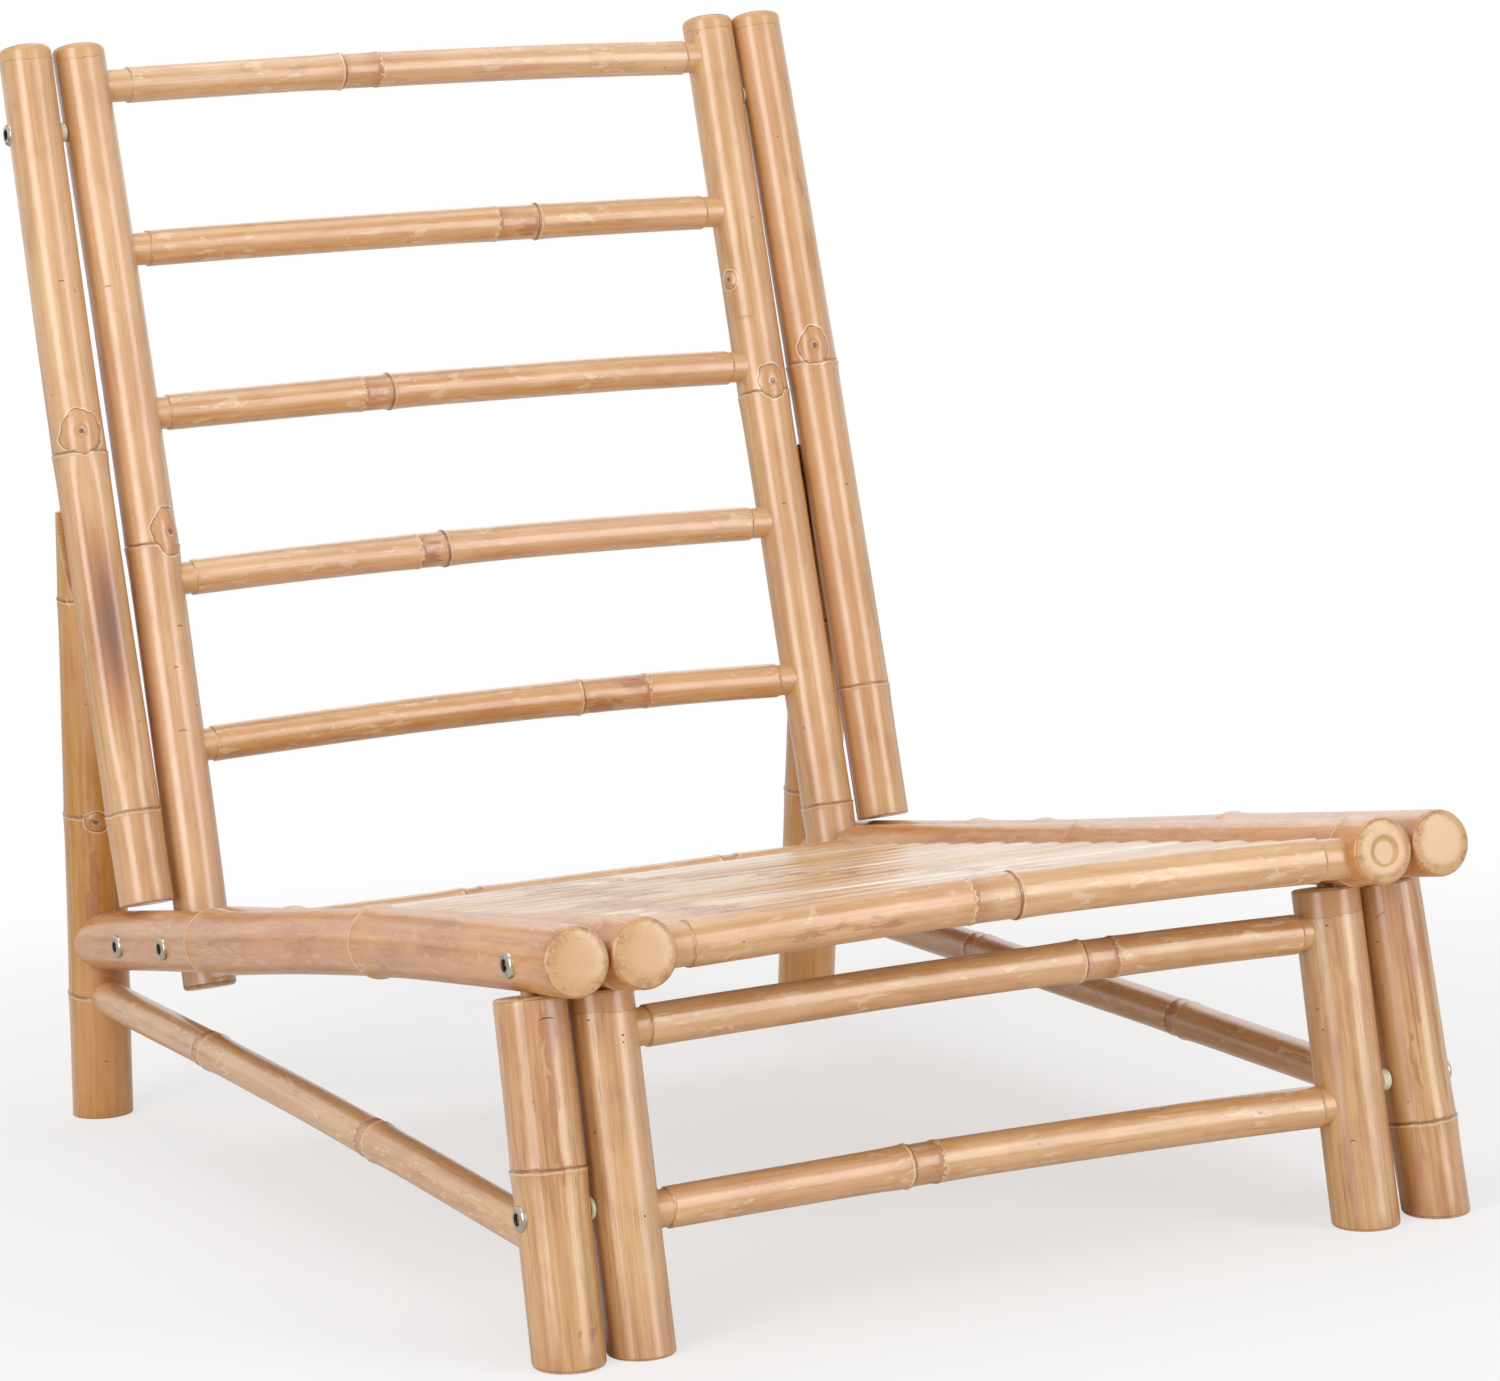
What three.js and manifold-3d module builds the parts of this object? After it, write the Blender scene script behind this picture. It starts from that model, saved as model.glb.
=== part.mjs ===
// A bamboo lounge chair that packs flat. Two rigid side frames of thick culms stand outside three
// inner panels, the back ladder, the slatted seat and the front-leg ladder, and ten bolts join them.
// Millimetres. +Z is up, the chair faces -Y, and +X is on the right of someone looking at its front.
// Lengths along the chair are first measured from the front feet. The end of the file centres it.
import * as THREE from "three";
import { mergeVertices } from "three/addons/utils/BufferGeometryUtils.js";
import Module from "manifold-3d";

const wasm = await Module();
wasm.setup();

// Driving sizes of the whole chair
const panelGauge = 503; // between the axes of the two inner stiles, inner rails and inner legs
const backTilt = 13.75; // degrees that the back leans away from upright
const seatTilt = 7.7; // degrees that the seat falls towards the back
const frontLegLean = 9.55; // degrees that the tops of the front legs lean back
const rearLegLean = { left: 5.7, right: 8.2 }; // degrees that the tops of the rear legs lean forward
const railFrontHeight = 240; // the rails' axes above the floor, at their front ends
const railOverhang = 31; // the rails' front ends ahead of the front feet
const backSetback = 697; // from the front feet to where the stiles cross the rails
const stileRise = 643; // inner stile above that crossing
const stileTail = 37; // inner stile below that crossing
const rearLegTop = 440; // height where the rear leg's axis meets the back pole's
const frontFootSplay = { left: 2, right: 8 }; // outer front feet stand this much outside their tops
const rearFootInset = { left: 0, right: 5 }; // rear feet stand this much inside their tops
const poleFootSpread = { left: -2, right: 4.5 }; // outer back poles' feet stand this much outside their tops
const backPoleBow = { left: 2, right: 1.5 }; // the outer back poles' middles bend outwards
const stileBow = { left: 3, right: 0 }; // and the inner stiles' middles bend inwards

// Radii of the culms
const stileRadius = 18.9;
const backPoleRadius = 19.4; // at the foot of the outer back pole
const backPoleTipRadius = 18.9; // at its top
const railRadius = 21;
const rearLegRadius = 21.8;
const frontLegRadius = 21.5;
const innerLegRadius = { left: 20.4, right: 21.5 };
const rungRadius = 12.8;
const legStretcherRadius = 12.5;
const sideStretcherRadius = 12.6;
const frontBarRadius = 14;
const rearBarRadius = 12.5;

// Fits and gaps between pieces
const fitGap = 0.3; // clearance wherever two pieces touch
const backGap = { left: 3.2, right: 1 }; // between the tops of back pole and inner stile
const railGap = 1.2; // between the outer rail and the inner rail or stile
const legGap = { left: 2.4, right: 0.4 }; // from the outer front leg's top to the inner rail's line
const seatBackGap = 16.8; // between the seat panel and the back's stiles
const legLadderShift = -1.5; // the front-leg ladder stands this far right of the middle
const poleStep = 4; // the outer back pole stands this much ahead of the inner stile
const cutOverrun = 60; // how far a cutting tool runs past what it cuts

// How a culm is shaped
const bigSides = 14;
const thinSides = 10;
const boltSides = 8;
const ridgeHeight = 1.1; // a node ring stands proud by this
const ridgeReach = 5; // and fades away over this length on each side
const domeHeight = 3.5; // crown of a sanded end
const domeEdge = 2.5; // rounding where the crown meets the wall
const squareEdge = 1; // broken edge of a square-cut end
const domeShoulderShare = 0.6; // radius of the crown's inner ring
const domeShoulderRise = 0.8; // height that the crown has lost at that ring
const bendStep = 170; // a bent culm has a ring at least this often

// Rungs and other bars that enter bored sockets
const tenonDepth = 13; // into the stile, leg or rail, from its skin
const tenonStep = 0.8; // the shaved end is thinner than the bar by this
const tenonShow = 11; // length of shaved end left in view
const barTenonRadius = 10; // the seat bars have square shoulders and thinner tenons
const barShoulderGap = 0.8; // from a square shoulder to the rail's skin

// Pegs and scarf
const pegRadius = 5; // hardwood pegs in the leg tops, and pegs glued in coped ends
const pegInLeg = 26;
const pegInRail = 13;
const copedPegReach = 15; // a glued peg goes this far past the skin of the leg it enters
const scarfSetback = 5; // flat of the rear leg's scarf, behind the back pole's axis

const degrees = THREE.MathUtils.degToRad;
const vec = (x, y, z) => new THREE.Vector3(x, y, z);

// Directions in the side view
const alongSeat = vec(0, Math.cos(degrees(seatTilt)), -Math.sin(degrees(seatTilt)));
const offSeat = vec(0, Math.sin(degrees(seatTilt)), Math.cos(degrees(seatTilt)));
const upBack = vec(0, Math.sin(degrees(backTilt)), Math.cos(degrees(backTilt)));
const behindBack = vec(0, Math.cos(degrees(backTilt)), -Math.sin(degrees(backTilt)));
const upFrontLeg = vec(0, Math.sin(degrees(frontLegLean)), Math.cos(degrees(frontLegLean)));

// Distances of the pole planes from the middle of the chair
const innerPlane = panelGauge / 2;
const poleTopPlane = (hand) => innerPlane + stileRadius + backGap[hand] + backPoleTipRadius;
const railPlane = innerPlane + Math.max(railRadius, stileRadius) + railGap + railRadius;
const legTopPlane = (hand) => innerPlane + frontLegRadius + legGap[hand] + frontLegRadius;

// How far a bent culm stands off its straight line, where bow is the most that it does
const bowLift = (bow, share) => 4 * bow * share * (1 - share);

// A point that is some way along a direction from another
const along = (from, direction, distance) => from.clone().addScaledVector(direction, distance);

// Where the axes lie in the side view. X is added for each side.
const railFront = vec(0, -railOverhang, railFrontHeight);
const railCrossing = (backSetback + railOverhang) / alongSeat.y;
const backCrossing = along(railFront, alongSeat, railCrossing);
const poleCrossing = along(backCrossing, behindBack, -poleStep);
const frontFoot = vec(0, 0, 0);

// Where a leg's axis crosses the line of the rails' axes, seen from the side
function onRailLine(foot, upLeg) {
  const toFoot = foot.clone().sub(railFront);
  return along(foot, upLeg, -toFoot.dot(offSeat) / upLeg.dot(offSeat));
}
const legTopOnRail = onRailLine(frontFoot, upFrontLeg);

// The seat panel ends just ahead of the stiles.
const poleLean = degrees(backTilt - seatTilt);
const stileReach = (stileRadius + railRadius * Math.sin(poleLean)) / Math.cos(poleLean);
const innerRailLength = railCrossing - stileReach - seatBackGap;

// The rear leg of a side, the rail that ends on it, and how far the rail's middle stands up or sags
const outerRailBow = { left: 8, right: -2 };
function sideFrameLines(hand) {
  const lean = degrees(rearLegLean[hand]);
  const upRearLeg = vec(0, -Math.sin(lean), Math.cos(lean));
  const scarfTop = along(poleCrossing, upBack, (rearLegTop - poleCrossing.z) / upBack.z);
  const rearFoot = along(scarfTop, upRearLeg, -rearLegTop / upRearLeg.z);
  const railEnd = onRailLine(rearFoot, upRearLeg);
  const railLength = railEnd.distanceTo(railFront);
  return { upRearLeg, rearFoot, railEnd, railLength, railBow: outerRailBow[hand] };
}

// A front leg's flat top just clears the rail, which may be bent, at the edge that it nears most.
function frontLegTop({ railBow, railLength }) {
  const share = legTopOnRail.distanceTo(railFront) / railLength;
  const tilt = degrees(frontLegLean - seatTilt) + 4 * railBow * (1 - 2 * share) / railLength;
  const drop = (railRadius + fitGap) / Math.cos(tilt) + frontLegRadius * Math.abs(Math.tan(tilt));
  return along(legTopOnRail, upFrontLeg, bowLift(railBow, share) - drop);
}
const legTop = frontLegTop({ railBow: 0, railLength: innerRailLength });
const legPlaneAt = (height, hand) => legTopPlane(hand) + frontFootSplay[hand] * (1 - height / legTop.z);
const rearPlaneAt = (height, hand) => railPlane - rearFootInset[hand] * (1 - height / rearLegTop);

// The back pole's square foot just clears the bent rail at its rear edge.
function backPoleFoot({ railBow, railLength }) {
  const lift = bowLift(railBow, railCrossing / railLength) * offSeat.z;
  return (railRadius + fitGap + lift + backPoleRadius * Math.sin(poleLean)) / Math.cos(poleLean);
}

// Solids

// Turns a closed three.js geometry into a solid.
function solidFrom(geometry) {
  const bare = geometry.clone();
  bare.deleteAttribute("normal");
  bare.deleteAttribute("uv");
  const merged = mergeVertices(bare);
  const corners = merged.index.array;
  const kept = [];
  for (let i = 0; i < corners.length; i += 3) {
    const [a, b, c] = [corners[i], corners[i + 1], corners[i + 2]];
    if (a !== b && b !== c && c !== a) kept.push(a, b, c);
  }
  const vertProperties = new Float32Array(merged.attributes.position.array);
  return new wasm.Manifold(new wasm.Mesh({ numProp: 3, vertProperties, triVerts: new Uint32Array(kept) }));
}

// The frame of a turned piece: its own +Y runs from start to end.
function frameBetween(start, end) {
  const turn = new THREE.Quaternion().setFromUnitVectors(vec(0, 1, 0), end.clone().sub(start).normalize());
  return new THREE.Matrix4().compose(start, turn, vec(1, 1, 1));
}

// The outline of a culm from its start, on the axis, to its end. Grow fattens it into a cutting tool.
function culmOutline(piece, length, grow) {
  const { radius, tipRadius = radius, nodeShares = [], tenonRadius = radius - tenonStep } = piece;
  const wallAt = (place) => THREE.MathUtils.lerp(radius, tipRadius, place / length) + grow;
  const rings = [];
  for (const share of nodeShares) {
    const place = share * length;
    rings.push([wallAt(place), place - ridgeReach]);
    rings.push([wallAt(place) + ridgeHeight, place]);
    rings.push([wallAt(place), place + ridgeReach]);
  }
  const finish = (kind, wall) => {
    if (kind === "domed") {
      return [
        [0, -grow],
        [wall * domeShoulderShare, domeShoulderRise - grow],
        [wall - domeEdge, domeHeight - domeShoulderRise - grow],
        [wall, domeHeight + domeEdge - grow],
      ];
    }
    if (kind === "tenon") {
      const shoulder = piece.shoulder;
      return [
        [0, -grow],
        [tenonRadius + grow, -grow],
        [tenonRadius + grow, shoulder - grow],
        [wall, shoulder + tenonStep / 2 - grow],
      ];
    }
    if (kind === "square") return [[0, -grow], [wall - squareEdge, -grow], [wall, squareEdge - grow]];
    return [[0, -grow], [wall, -grow]];
  };
  const startRings = finish(piece.startFinish, wallAt(0));
  const endRings = finish(piece.endFinish, wallAt(length)).map(([r, place]) => [r, length - place]);
  const outline = [...startRings, ...rings.sort((a, b) => a[1] - b[1]), ...endRings.reverse()];
  if (!piece.bow) return outline;
  // A bent culm gets extra rings where the others lie far apart.
  const filled = [outline[0]];
  for (const ring of outline.slice(1)) {
    const last = filled[filled.length - 1];
    const spare = Math.ceil((ring[1] - last[1]) / bendStep);
    for (let i = 1; i < spare; i++) {
      const place = THREE.MathUtils.lerp(last[1], ring[1], i / spare);
      filled.push([wallAt(place), place]);
    }
    filled.push(ring);
  }
  return filled;
}

// A culm as a solid, or a cutting tool of its shape when grow is above zero.
function culmSolid(piece, grow = 0) {
  const length = piece.start.distanceTo(piece.end);
  const outline = culmOutline(piece, length, grow).map(([r, place]) => new THREE.Vector2(r, place));
  const geometry = new THREE.LatheGeometry(outline, piece.sides ?? bigSides);
  const frame = frameBetween(piece.start, piece.end);
  geometry.applyMatrix4(frame);
  if (piece.bow) {
    const axis = piece.end.clone().sub(piece.start).divideScalar(length);
    const position = geometry.attributes.position;
    const point = vec(0, 0, 0);
    for (let i = 0; i < position.count; i++) {
      point.fromBufferAttribute(position, i);
      const share = THREE.MathUtils.clamp(point.clone().sub(piece.start).dot(axis) / length, 0, 1);
      point.addScaledVector(piece.bow, bowLift(1, share));
      position.setXYZ(i, point.x, point.y, point.z);
    }
  }
  return solidFrom(geometry);
}

// A plain round rod between two points.
function rodSolid(start, end, radius) {
  return culmSolid({ start, end, radius, sides: thinSides, startFinish: "plain", endFinish: "plain" });
}

// The chair is collected here before its pieces are cut to fit each other.
const pieces = {};

function bambooMaterial(color) {
  return new THREE.MeshStandardMaterial({ color, roughness: 0.42, metalness: 0 });
}

function addCulm(name, group, piece) {
  const frame = frameBetween(piece.start, piece.end);
  pieces[name] = { ...piece, name, group, frame, solid: culmSolid(piece) };
}

function addSolid(name, group, frame, solid, material, grown) {
  pieces[name] = { name, group, frame, solid, material, grown };
}

// The cutting tool that leaves a fit gap round a piece
function toolFor(name) {
  const piece = pieces[name];
  return piece.grown ?? culmSolid(piece, fitGap);
}

// Bores host so that guest can enter it.
function bore(host, guest) {
  pieces[host].solid = pieces[host].solid.subtract(toolFor(guest));
}

// Hollows the end of guest so that it saddles the round host.
const cope = (guest, host) => bore(guest, host);

// Glues a peg into a coped end, and bores the host for it.
function gluePeg(guest, host, start, end) {
  pieces[guest].solid = pieces[guest].solid.add(rodSolid(start, end, pegRadius));
  const tip = along(end, end.clone().sub(start).normalize(), fitGap);
  pieces[host].solid = pieces[host].solid.subtract(rodSolid(start, tip, pegRadius + fitGap));
}

// Names of sides: -1 is left in a front view, +1 is right.
const sideName = (side) => (side < 0 ? "left" : "right");
const sides = [-1, 1];
const atSide = (point, side, plane) => point.clone().setX(side * plane);
const atLegPlane = (point, side) => atSide(point, side, legPlaneAt(point.z, sideName(side)));
const atRearPlane = (point, side) => atSide(point, side, rearPlaneAt(point.z, sideName(side)));

// Side frames: node rings are where each natural culm happens to have them.
const backPoleNodes = { left: [0.105, 0.522], right: [0.163, 0.562] };
const rearLegNodes = { left: [0.246, 0.534, 0.868], right: [0.425, 0.72] };
const outerRailNodes = { left: [0.355, 0.71], right: [0.287, 0.58, 0.693] };
const outerLegNodes = { left: [0.577], right: [0.349] };
const sideStretcherNodes = { left: [0.335, 0.702], right: [0.33, 0.665] };
const sideStretcherBow = { left: 4, right: 3 };
const sideStretcherFront = 68.5; // height of its axis at the front leg
const sideStretcherGap = 5.5; // between it and the outer rail at the rear leg

const onFrontLeg = (height) => along(frontFoot, upFrontLeg, height / upFrontLeg.z);

for (const side of sides) {
  const hand = sideName(side);
  const group = `side_frame_${hand}`;
  const lines = sideFrameLines(hand);
  const { rearFoot, upRearLeg, railEnd, railBow } = lines;
  const onRearLeg = (height) => along(rearFoot, upRearLeg, height / upRearLeg.z);
  const stretcherRear = railEnd.z - railRadius - sideStretcherGap - sideStretcherRadius;
  const poleTop = atSide(along(poleCrossing, upBack, stileRise), side, poleTopPlane(hand));
  const poleFoot = along(poleCrossing, upBack, backPoleFoot(lines));
  addCulm(`outer_back_pole_${hand}`, group, {
    start: atSide(poleFoot, side, poleTopPlane(hand) + poleFootSpread[hand]),
    end: poleTop,
    bow: vec(side * backPoleBow[hand], 0, 0),
    radius: backPoleRadius,
    tipRadius: backPoleTipRadius,
    nodeShares: backPoleNodes[hand],
    startFinish: "square",
    endFinish: "domed",
    color: 0xd9ad78,
  });
  addCulm(`rear_leg_${hand}`, group, {
    start: atRearPlane(along(rearFoot, upRearLeg, -rearLegRadius), side),
    end: atRearPlane(onRearLeg(rearLegTop), side),
    radius: rearLegRadius,
    nodeShares: rearLegNodes[hand],
    startFinish: "plain",
    endFinish: "plain",
    color: 0xcda16a,
  });
  addCulm(`outer_seat_rail_${hand}`, group, {
    start: atSide(railFront, side, railPlane),
    end: atSide(railEnd, side, railPlane),
    radius: railRadius,
    nodeShares: outerRailNodes[hand],
    bow: vec(0, 0, railBow),
    startFinish: "domed",
    endFinish: "plain",
    color: 0xd6a970,
  });
  addCulm(`outer_front_leg_${hand}`, group, {
    start: atLegPlane(along(frontFoot, upFrontLeg, -frontLegRadius), side),
    end: atLegPlane(frontLegTop(lines), side),
    radius: frontLegRadius,
    nodeShares: outerLegNodes[hand],
    startFinish: "plain",
    endFinish: "square",
    color: 0xd2a66d,
  });
  addCulm(`side_stretcher_${hand}`, group, {
    start: atLegPlane(onFrontLeg(sideStretcherFront), side),
    end: atRearPlane(onRearLeg(stretcherRear), side),
    radius: sideStretcherRadius,
    sides: thinSides,
    nodeShares: sideStretcherNodes[hand],
    bow: vec(0, 0, sideStretcherBow[hand]),
    startFinish: "plain",
    endFinish: "plain",
    color: 0xcb9c62,
  });
}

// Back ladder: two stiles and the rungs between them
const stileNodes = { left: [0.467], right: [0.103, 0.57] };
const rungCount = 5;
const rungDrop = 31.5; // from the top of the stiles to the top rung
const rungPitch = 119.6;
const rungNodeShares = [[0.42], [0.636], [0.369], [0.421], [0.68]];
const rungBow = [3, 2, 3, 4, 5]; // how far each rung's middle is lifted

for (const side of sides) {
  const hand = sideName(side);
  addCulm(`back_stile_${hand}`, "back_ladder", {
    start: atSide(along(backCrossing, upBack, -stileTail), side, innerPlane),
    end: atSide(along(backCrossing, upBack, stileRise), side, innerPlane),
    radius: stileRadius,
    nodeShares: stileNodes[hand],
    bow: vec(-side * stileBow[hand], 0, 0),
    startFinish: "square",
    endFinish: "domed",
    color: 0xdcb37f,
  });
}

// A bar whose shaved ends sit in sockets bored in two hosts, one on each side
function addSocketedBar(name, group, centre, hostRadius, { shift = 0, ...details }) {
  const reach = innerPlane - hostRadius + tenonDepth;
  addCulm(name, group, {
    start: atSide(centre, 1, shift - reach),
    end: atSide(centre, 1, shift + reach),
    sides: thinSides,
    shoulder: tenonDepth + tenonShow,
    startFinish: "tenon",
    endFinish: "tenon",
    ...details,
  });
}

for (let i = 0; i < rungCount; i++) {
  const centre = along(backCrossing, upBack, stileRise - rungDrop - i * rungPitch);
  const name = `back_rung_${i + 1}`;
  addSocketedBar(name, "back_ladder", centre, stileRadius, {
    radius: rungRadius,
    nodeShares: rungNodeShares[i % rungNodeShares.length],
    bow: vec(0, 0, rungBow[i % rungBow.length]),
    color: 0xdfb885,
  });
  for (const side of sides) bore(`back_stile_${sideName(side)}`, name);
}

// Seat panel: two rails, a bar at each end, and slats whose ends lie in a groove along each rail
const innerRailNodes = { left: [0.045, 0.43, 0.8], right: [0.047, 0.57] };
const frontBarNodes = [0.43, 0.49];
const frontBarBow = 3;
const rearBarNodes = [0.35, 0.78];
const frontBarSetback = 22; // from the rails' front ends to the front bar's axis
const rearBarSetback = 20; // from the rails' rear ends to the rear bar's axis
const slatCount = 16;
const slatSpace = 2.5; // daylight between slats
const slatEdge = 5; // thickness of a slat's edge
const slatCrown = 10.5; // thickness of a slat at its middle
const slatCrownPoints = 4; // faces across the crown
const grooveDepth = 10.5; // the groove's floor is this far in from the rail's skin
const slatEndPlay = 1.2; // slats stop this far short of the groove's floor

for (const side of sides) {
  const hand = sideName(side);
  addCulm(`inner_seat_rail_${hand}`, "seat_panel", {
    start: atSide(railFront, side, innerPlane),
    end: atSide(along(railFront, alongSeat, innerRailLength), side, innerPlane),
    radius: railRadius,
    nodeShares: innerRailNodes[hand],
    startFinish: "domed",
    endFinish: "square",
    color: 0xd8ad76,
  });
}
const barShoulder = tenonDepth + barShoulderGap;
const frontBarPlace = frontBarSetback;
const rearBarPlace = innerRailLength - rearBarSetback;
addSocketedBar("front_seat_bar", "seat_panel", along(railFront, alongSeat, frontBarPlace), railRadius, {
  radius: frontBarRadius,
  tenonRadius: barTenonRadius,
  shoulder: barShoulder,
  nodeShares: frontBarNodes,
  bow: vec(0, 0, frontBarBow),
  color: 0xdcae70,
});
addSocketedBar("rear_seat_bar", "seat_panel", along(railFront, alongSeat, rearBarPlace), railRadius, {
  radius: rearBarRadius,
  tenonRadius: barTenonRadius,
  shoulder: barShoulder,
  nodeShares: rearBarNodes,
  color: 0xcfa66e,
});
for (const bar of ["front_seat_bar", "rear_seat_bar"]) {
  for (const side of sides) bore(`inner_seat_rail_${sideName(side)}`, bar);
}

// The slats share the space between the two bars. Their flat undersides lie on the rails' axes.
const slatsFrom = frontBarPlace + frontBarRadius + ridgeHeight + fitGap;
const slatsTo = rearBarPlace - rearBarRadius - ridgeHeight - fitGap;
const slatPitch = (slatsTo - slatsFrom) / slatCount;
const slatWidth = slatPitch - slatSpace;
const slatReach = innerPlane - railRadius + grooveDepth - slatEndPlay;

// A block in the seat's own directions, from its low to its high distances
function seatBlock(lowX, highX, lowAlong, highAlong, lowOff, highOff) {
  const block = new THREE.BoxGeometry(highX - lowX, highAlong - lowAlong, highOff - lowOff);
  const turn = new THREE.Matrix4().makeBasis(vec(1, 0, 0), alongSeat, offSeat);
  const middle = along(railFront, alongSeat, (lowAlong + highAlong) / 2);
  middle.addScaledVector(offSeat, (lowOff + highOff) / 2).setX((lowX + highX) / 2);
  return solidFrom(block.applyMatrix4(turn.setPosition(middle)));
}

for (const side of sides) {
  const grooveFloor = side * (innerPlane - railRadius + grooveDepth);
  const grooveMouth = side * (innerPlane - railRadius - cutOverrun);
  const low = Math.min(grooveFloor, grooveMouth);
  const high = Math.max(grooveFloor, grooveMouth);
  const groove = seatBlock(low, high, slatsFrom, slatsTo, -fitGap, slatCrown + fitGap);
  const rail = pieces[`inner_seat_rail_${sideName(side)}`];
  rail.solid = rail.solid.subtract(groove);
}

// A slat is a strip split from a thick culm: flat below, crowned above.
function slatGeometry() {
  const half = slatWidth / 2;
  const outline = new THREE.Shape();
  outline.moveTo(-half, 0);
  outline.lineTo(half, 0);
  outline.lineTo(half, slatEdge);
  for (let i = 1; i < slatCrownPoints; i++) {
    const share = i / slatCrownPoints;
    const lift = Math.sin(Math.PI * share);
    outline.lineTo(half * Math.cos(Math.PI * share), slatEdge + (slatCrown - slatEdge) * lift);
  }
  outline.lineTo(-half, slatEdge);
  outline.closePath();
  return new THREE.ExtrudeGeometry(outline, { depth: 2 * slatReach, bevelEnabled: false, steps: 1 });
}

const slatTones = [0xdcb78a, 0xd5ad7c, 0xe0bd92];
for (let i = 0; i < slatCount; i++) {
  // The outline is drawn along and off the seat, and extruded from the left groove to the right one.
  const place = slatsFrom + slatPitch * (i + 1 / 2);
  const start = along(railFront, alongSeat, place).setX(-slatReach);
  const frame = new THREE.Matrix4().makeBasis(alongSeat, offSeat, vec(1, 0, 0)).setPosition(start);
  const solid = solidFrom(slatGeometry().applyMatrix4(frame));
  const number = String(i + 1).padStart(2, "0");
  const tone = slatTones[i % slatTones.length];
  addSolid(`seat_slat_${number}`, "seat_panel", frame, solid, bambooMaterial(tone));
}

// Front-leg ladder: two inner legs and their stretchers
const innerLegNodes = { left: [0.93], right: [0.92] };
const stretcherNodes = { upper: [0.66], lower: [0.4] };
const upperStretcherDrop = 25; // from the legs' tops to the upper stretcher's axis
const stretcherHeights = { upper: legTop.z - upperStretcherDrop, lower: 79 };
const stretcherBow = 3;
const stretcherTenonShow = 5;
const innerLegPlane = (side) => innerPlane + side * legLadderShift;

for (const side of sides) {
  const hand = sideName(side);
  addCulm(`inner_front_leg_${hand}`, "front_leg_ladder", {
    start: atSide(along(frontFoot, upFrontLeg, -frontLegRadius), side, innerLegPlane(side)),
    end: atSide(legTop, side, innerLegPlane(side)),
    radius: innerLegRadius[hand],
    nodeShares: innerLegNodes[hand],
    startFinish: "plain",
    endFinish: "square",
    color: 0xd9af7a,
  });
}
for (const level of ["upper", "lower"]) {
  const name = `${level}_leg_stretcher`;
  addSocketedBar(name, "front_leg_ladder", onFrontLeg(stretcherHeights[level]), frontLegRadius, {
    radius: legStretcherRadius,
    shift: legLadderShift,
    shoulder: tenonDepth + stretcherTenonShow,
    nodeShares: stretcherNodes[level],
    bow: vec(0, 0, stretcherBow),
    color: 0xd7a96f,
  });
  for (const side of sides) bore(`inner_front_leg_${sideName(side)}`, name);
}

// Joints inside the side frames
for (const side of sides) {
  const hand = sideName(side);
  const pole = pieces[`outer_back_pole_${hand}`];
  const leg = pieces[`rear_leg_${hand}`];

  // The rear leg's top is scarfed to lie against the back pole: a groove with flats beside it.
  cope(leg.name, pole.name);
  const scarfLength = pole.start.distanceTo(pole.end) + cutOverrun;
  const flat = new THREE.BoxGeometry(2 * cutOverrun, cutOverrun, scarfLength);
  const middle = along(pole.start.clone().lerp(pole.end, 1 / 2), behindBack, scarfSetback - cutOverrun / 2);
  const turn = new THREE.Matrix4().makeBasis(vec(1, 0, 0), behindBack, upBack);
  leg.solid = leg.solid.subtract(solidFrom(flat.applyMatrix4(turn.setPosition(middle))));

  // The rail and the side stretcher saddle the legs, and a peg glued in each end goes into the leg.
  const rail = `outer_seat_rail_${hand}`;
  const stretcher = `side_stretcher_${hand}`;
  const frontLeg = `outer_front_leg_${hand}`;
  cope(rail, leg.name);
  cope(stretcher, leg.name);
  cope(stretcher, frontLeg);
  const pegLine = (joint, direction, hostRadius) => [
    along(joint, direction, -hostRadius - copedPegReach),
    along(joint, direction, copedPegReach - hostRadius),
  ];
  gluePeg(rail, leg.name, ...pegLine(pieces[rail].end, alongSeat, rearLegRadius));
  const rearwards = pieces[stretcher].end.clone().sub(pieces[stretcher].start).normalize();
  gluePeg(stretcher, leg.name, ...pegLine(pieces[stretcher].end, rearwards, rearLegRadius));
  const forwards = rearwards.clone().negate();
  gluePeg(stretcher, frontLeg, ...pegLine(pieces[stretcher].start, forwards, frontLegRadius));
}

// Hardwood pegs stand in the flat tops of the front legs and enter the rails from below.
for (const side of sides) {
  const hand = sideName(side);
  for (const row of ["outer", "inner"]) {
    const leg = pieces[`${row}_front_leg_${hand}`];
    const upLeg = leg.end.clone().sub(leg.start).normalize();
    const start = along(leg.end, upLeg, -pegInLeg);
    const end = along(leg.end, upLeg, pegInRail);
    const name = `leg_peg_${row}_${hand}`;
    const tool = rodSolid(along(start, upLeg, -fitGap), along(end, upLeg, fitGap), pegRadius + fitGap);
    const material = new THREE.MeshStandardMaterial({ color: 0xc9a06b, roughness: 0.6, metalness: 0 });
    addSolid(name, leg.group, frameBetween(start, end), rodSolid(start, end, pegRadius), material, tool);
    bore(leg.name, name);
    bore(`${row}_seat_rail_${hand}`, name);
  }
}

// Feet are cut level with the floor.
for (const name of ["rear_leg", "outer_front_leg", "inner_front_leg"]) {
  for (const side of sides) {
    const leg = pieces[`${name}_${sideName(side)}`];
    const ground = new THREE.BoxGeometry(2 * cutOverrun, 2 * cutOverrun, cutOverrun);
    ground.translate(leg.start.x, leg.start.y, -cutOverrun / 2);
    leg.solid = leg.solid.subtract(solidFrom(ground));
  }
}

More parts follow.
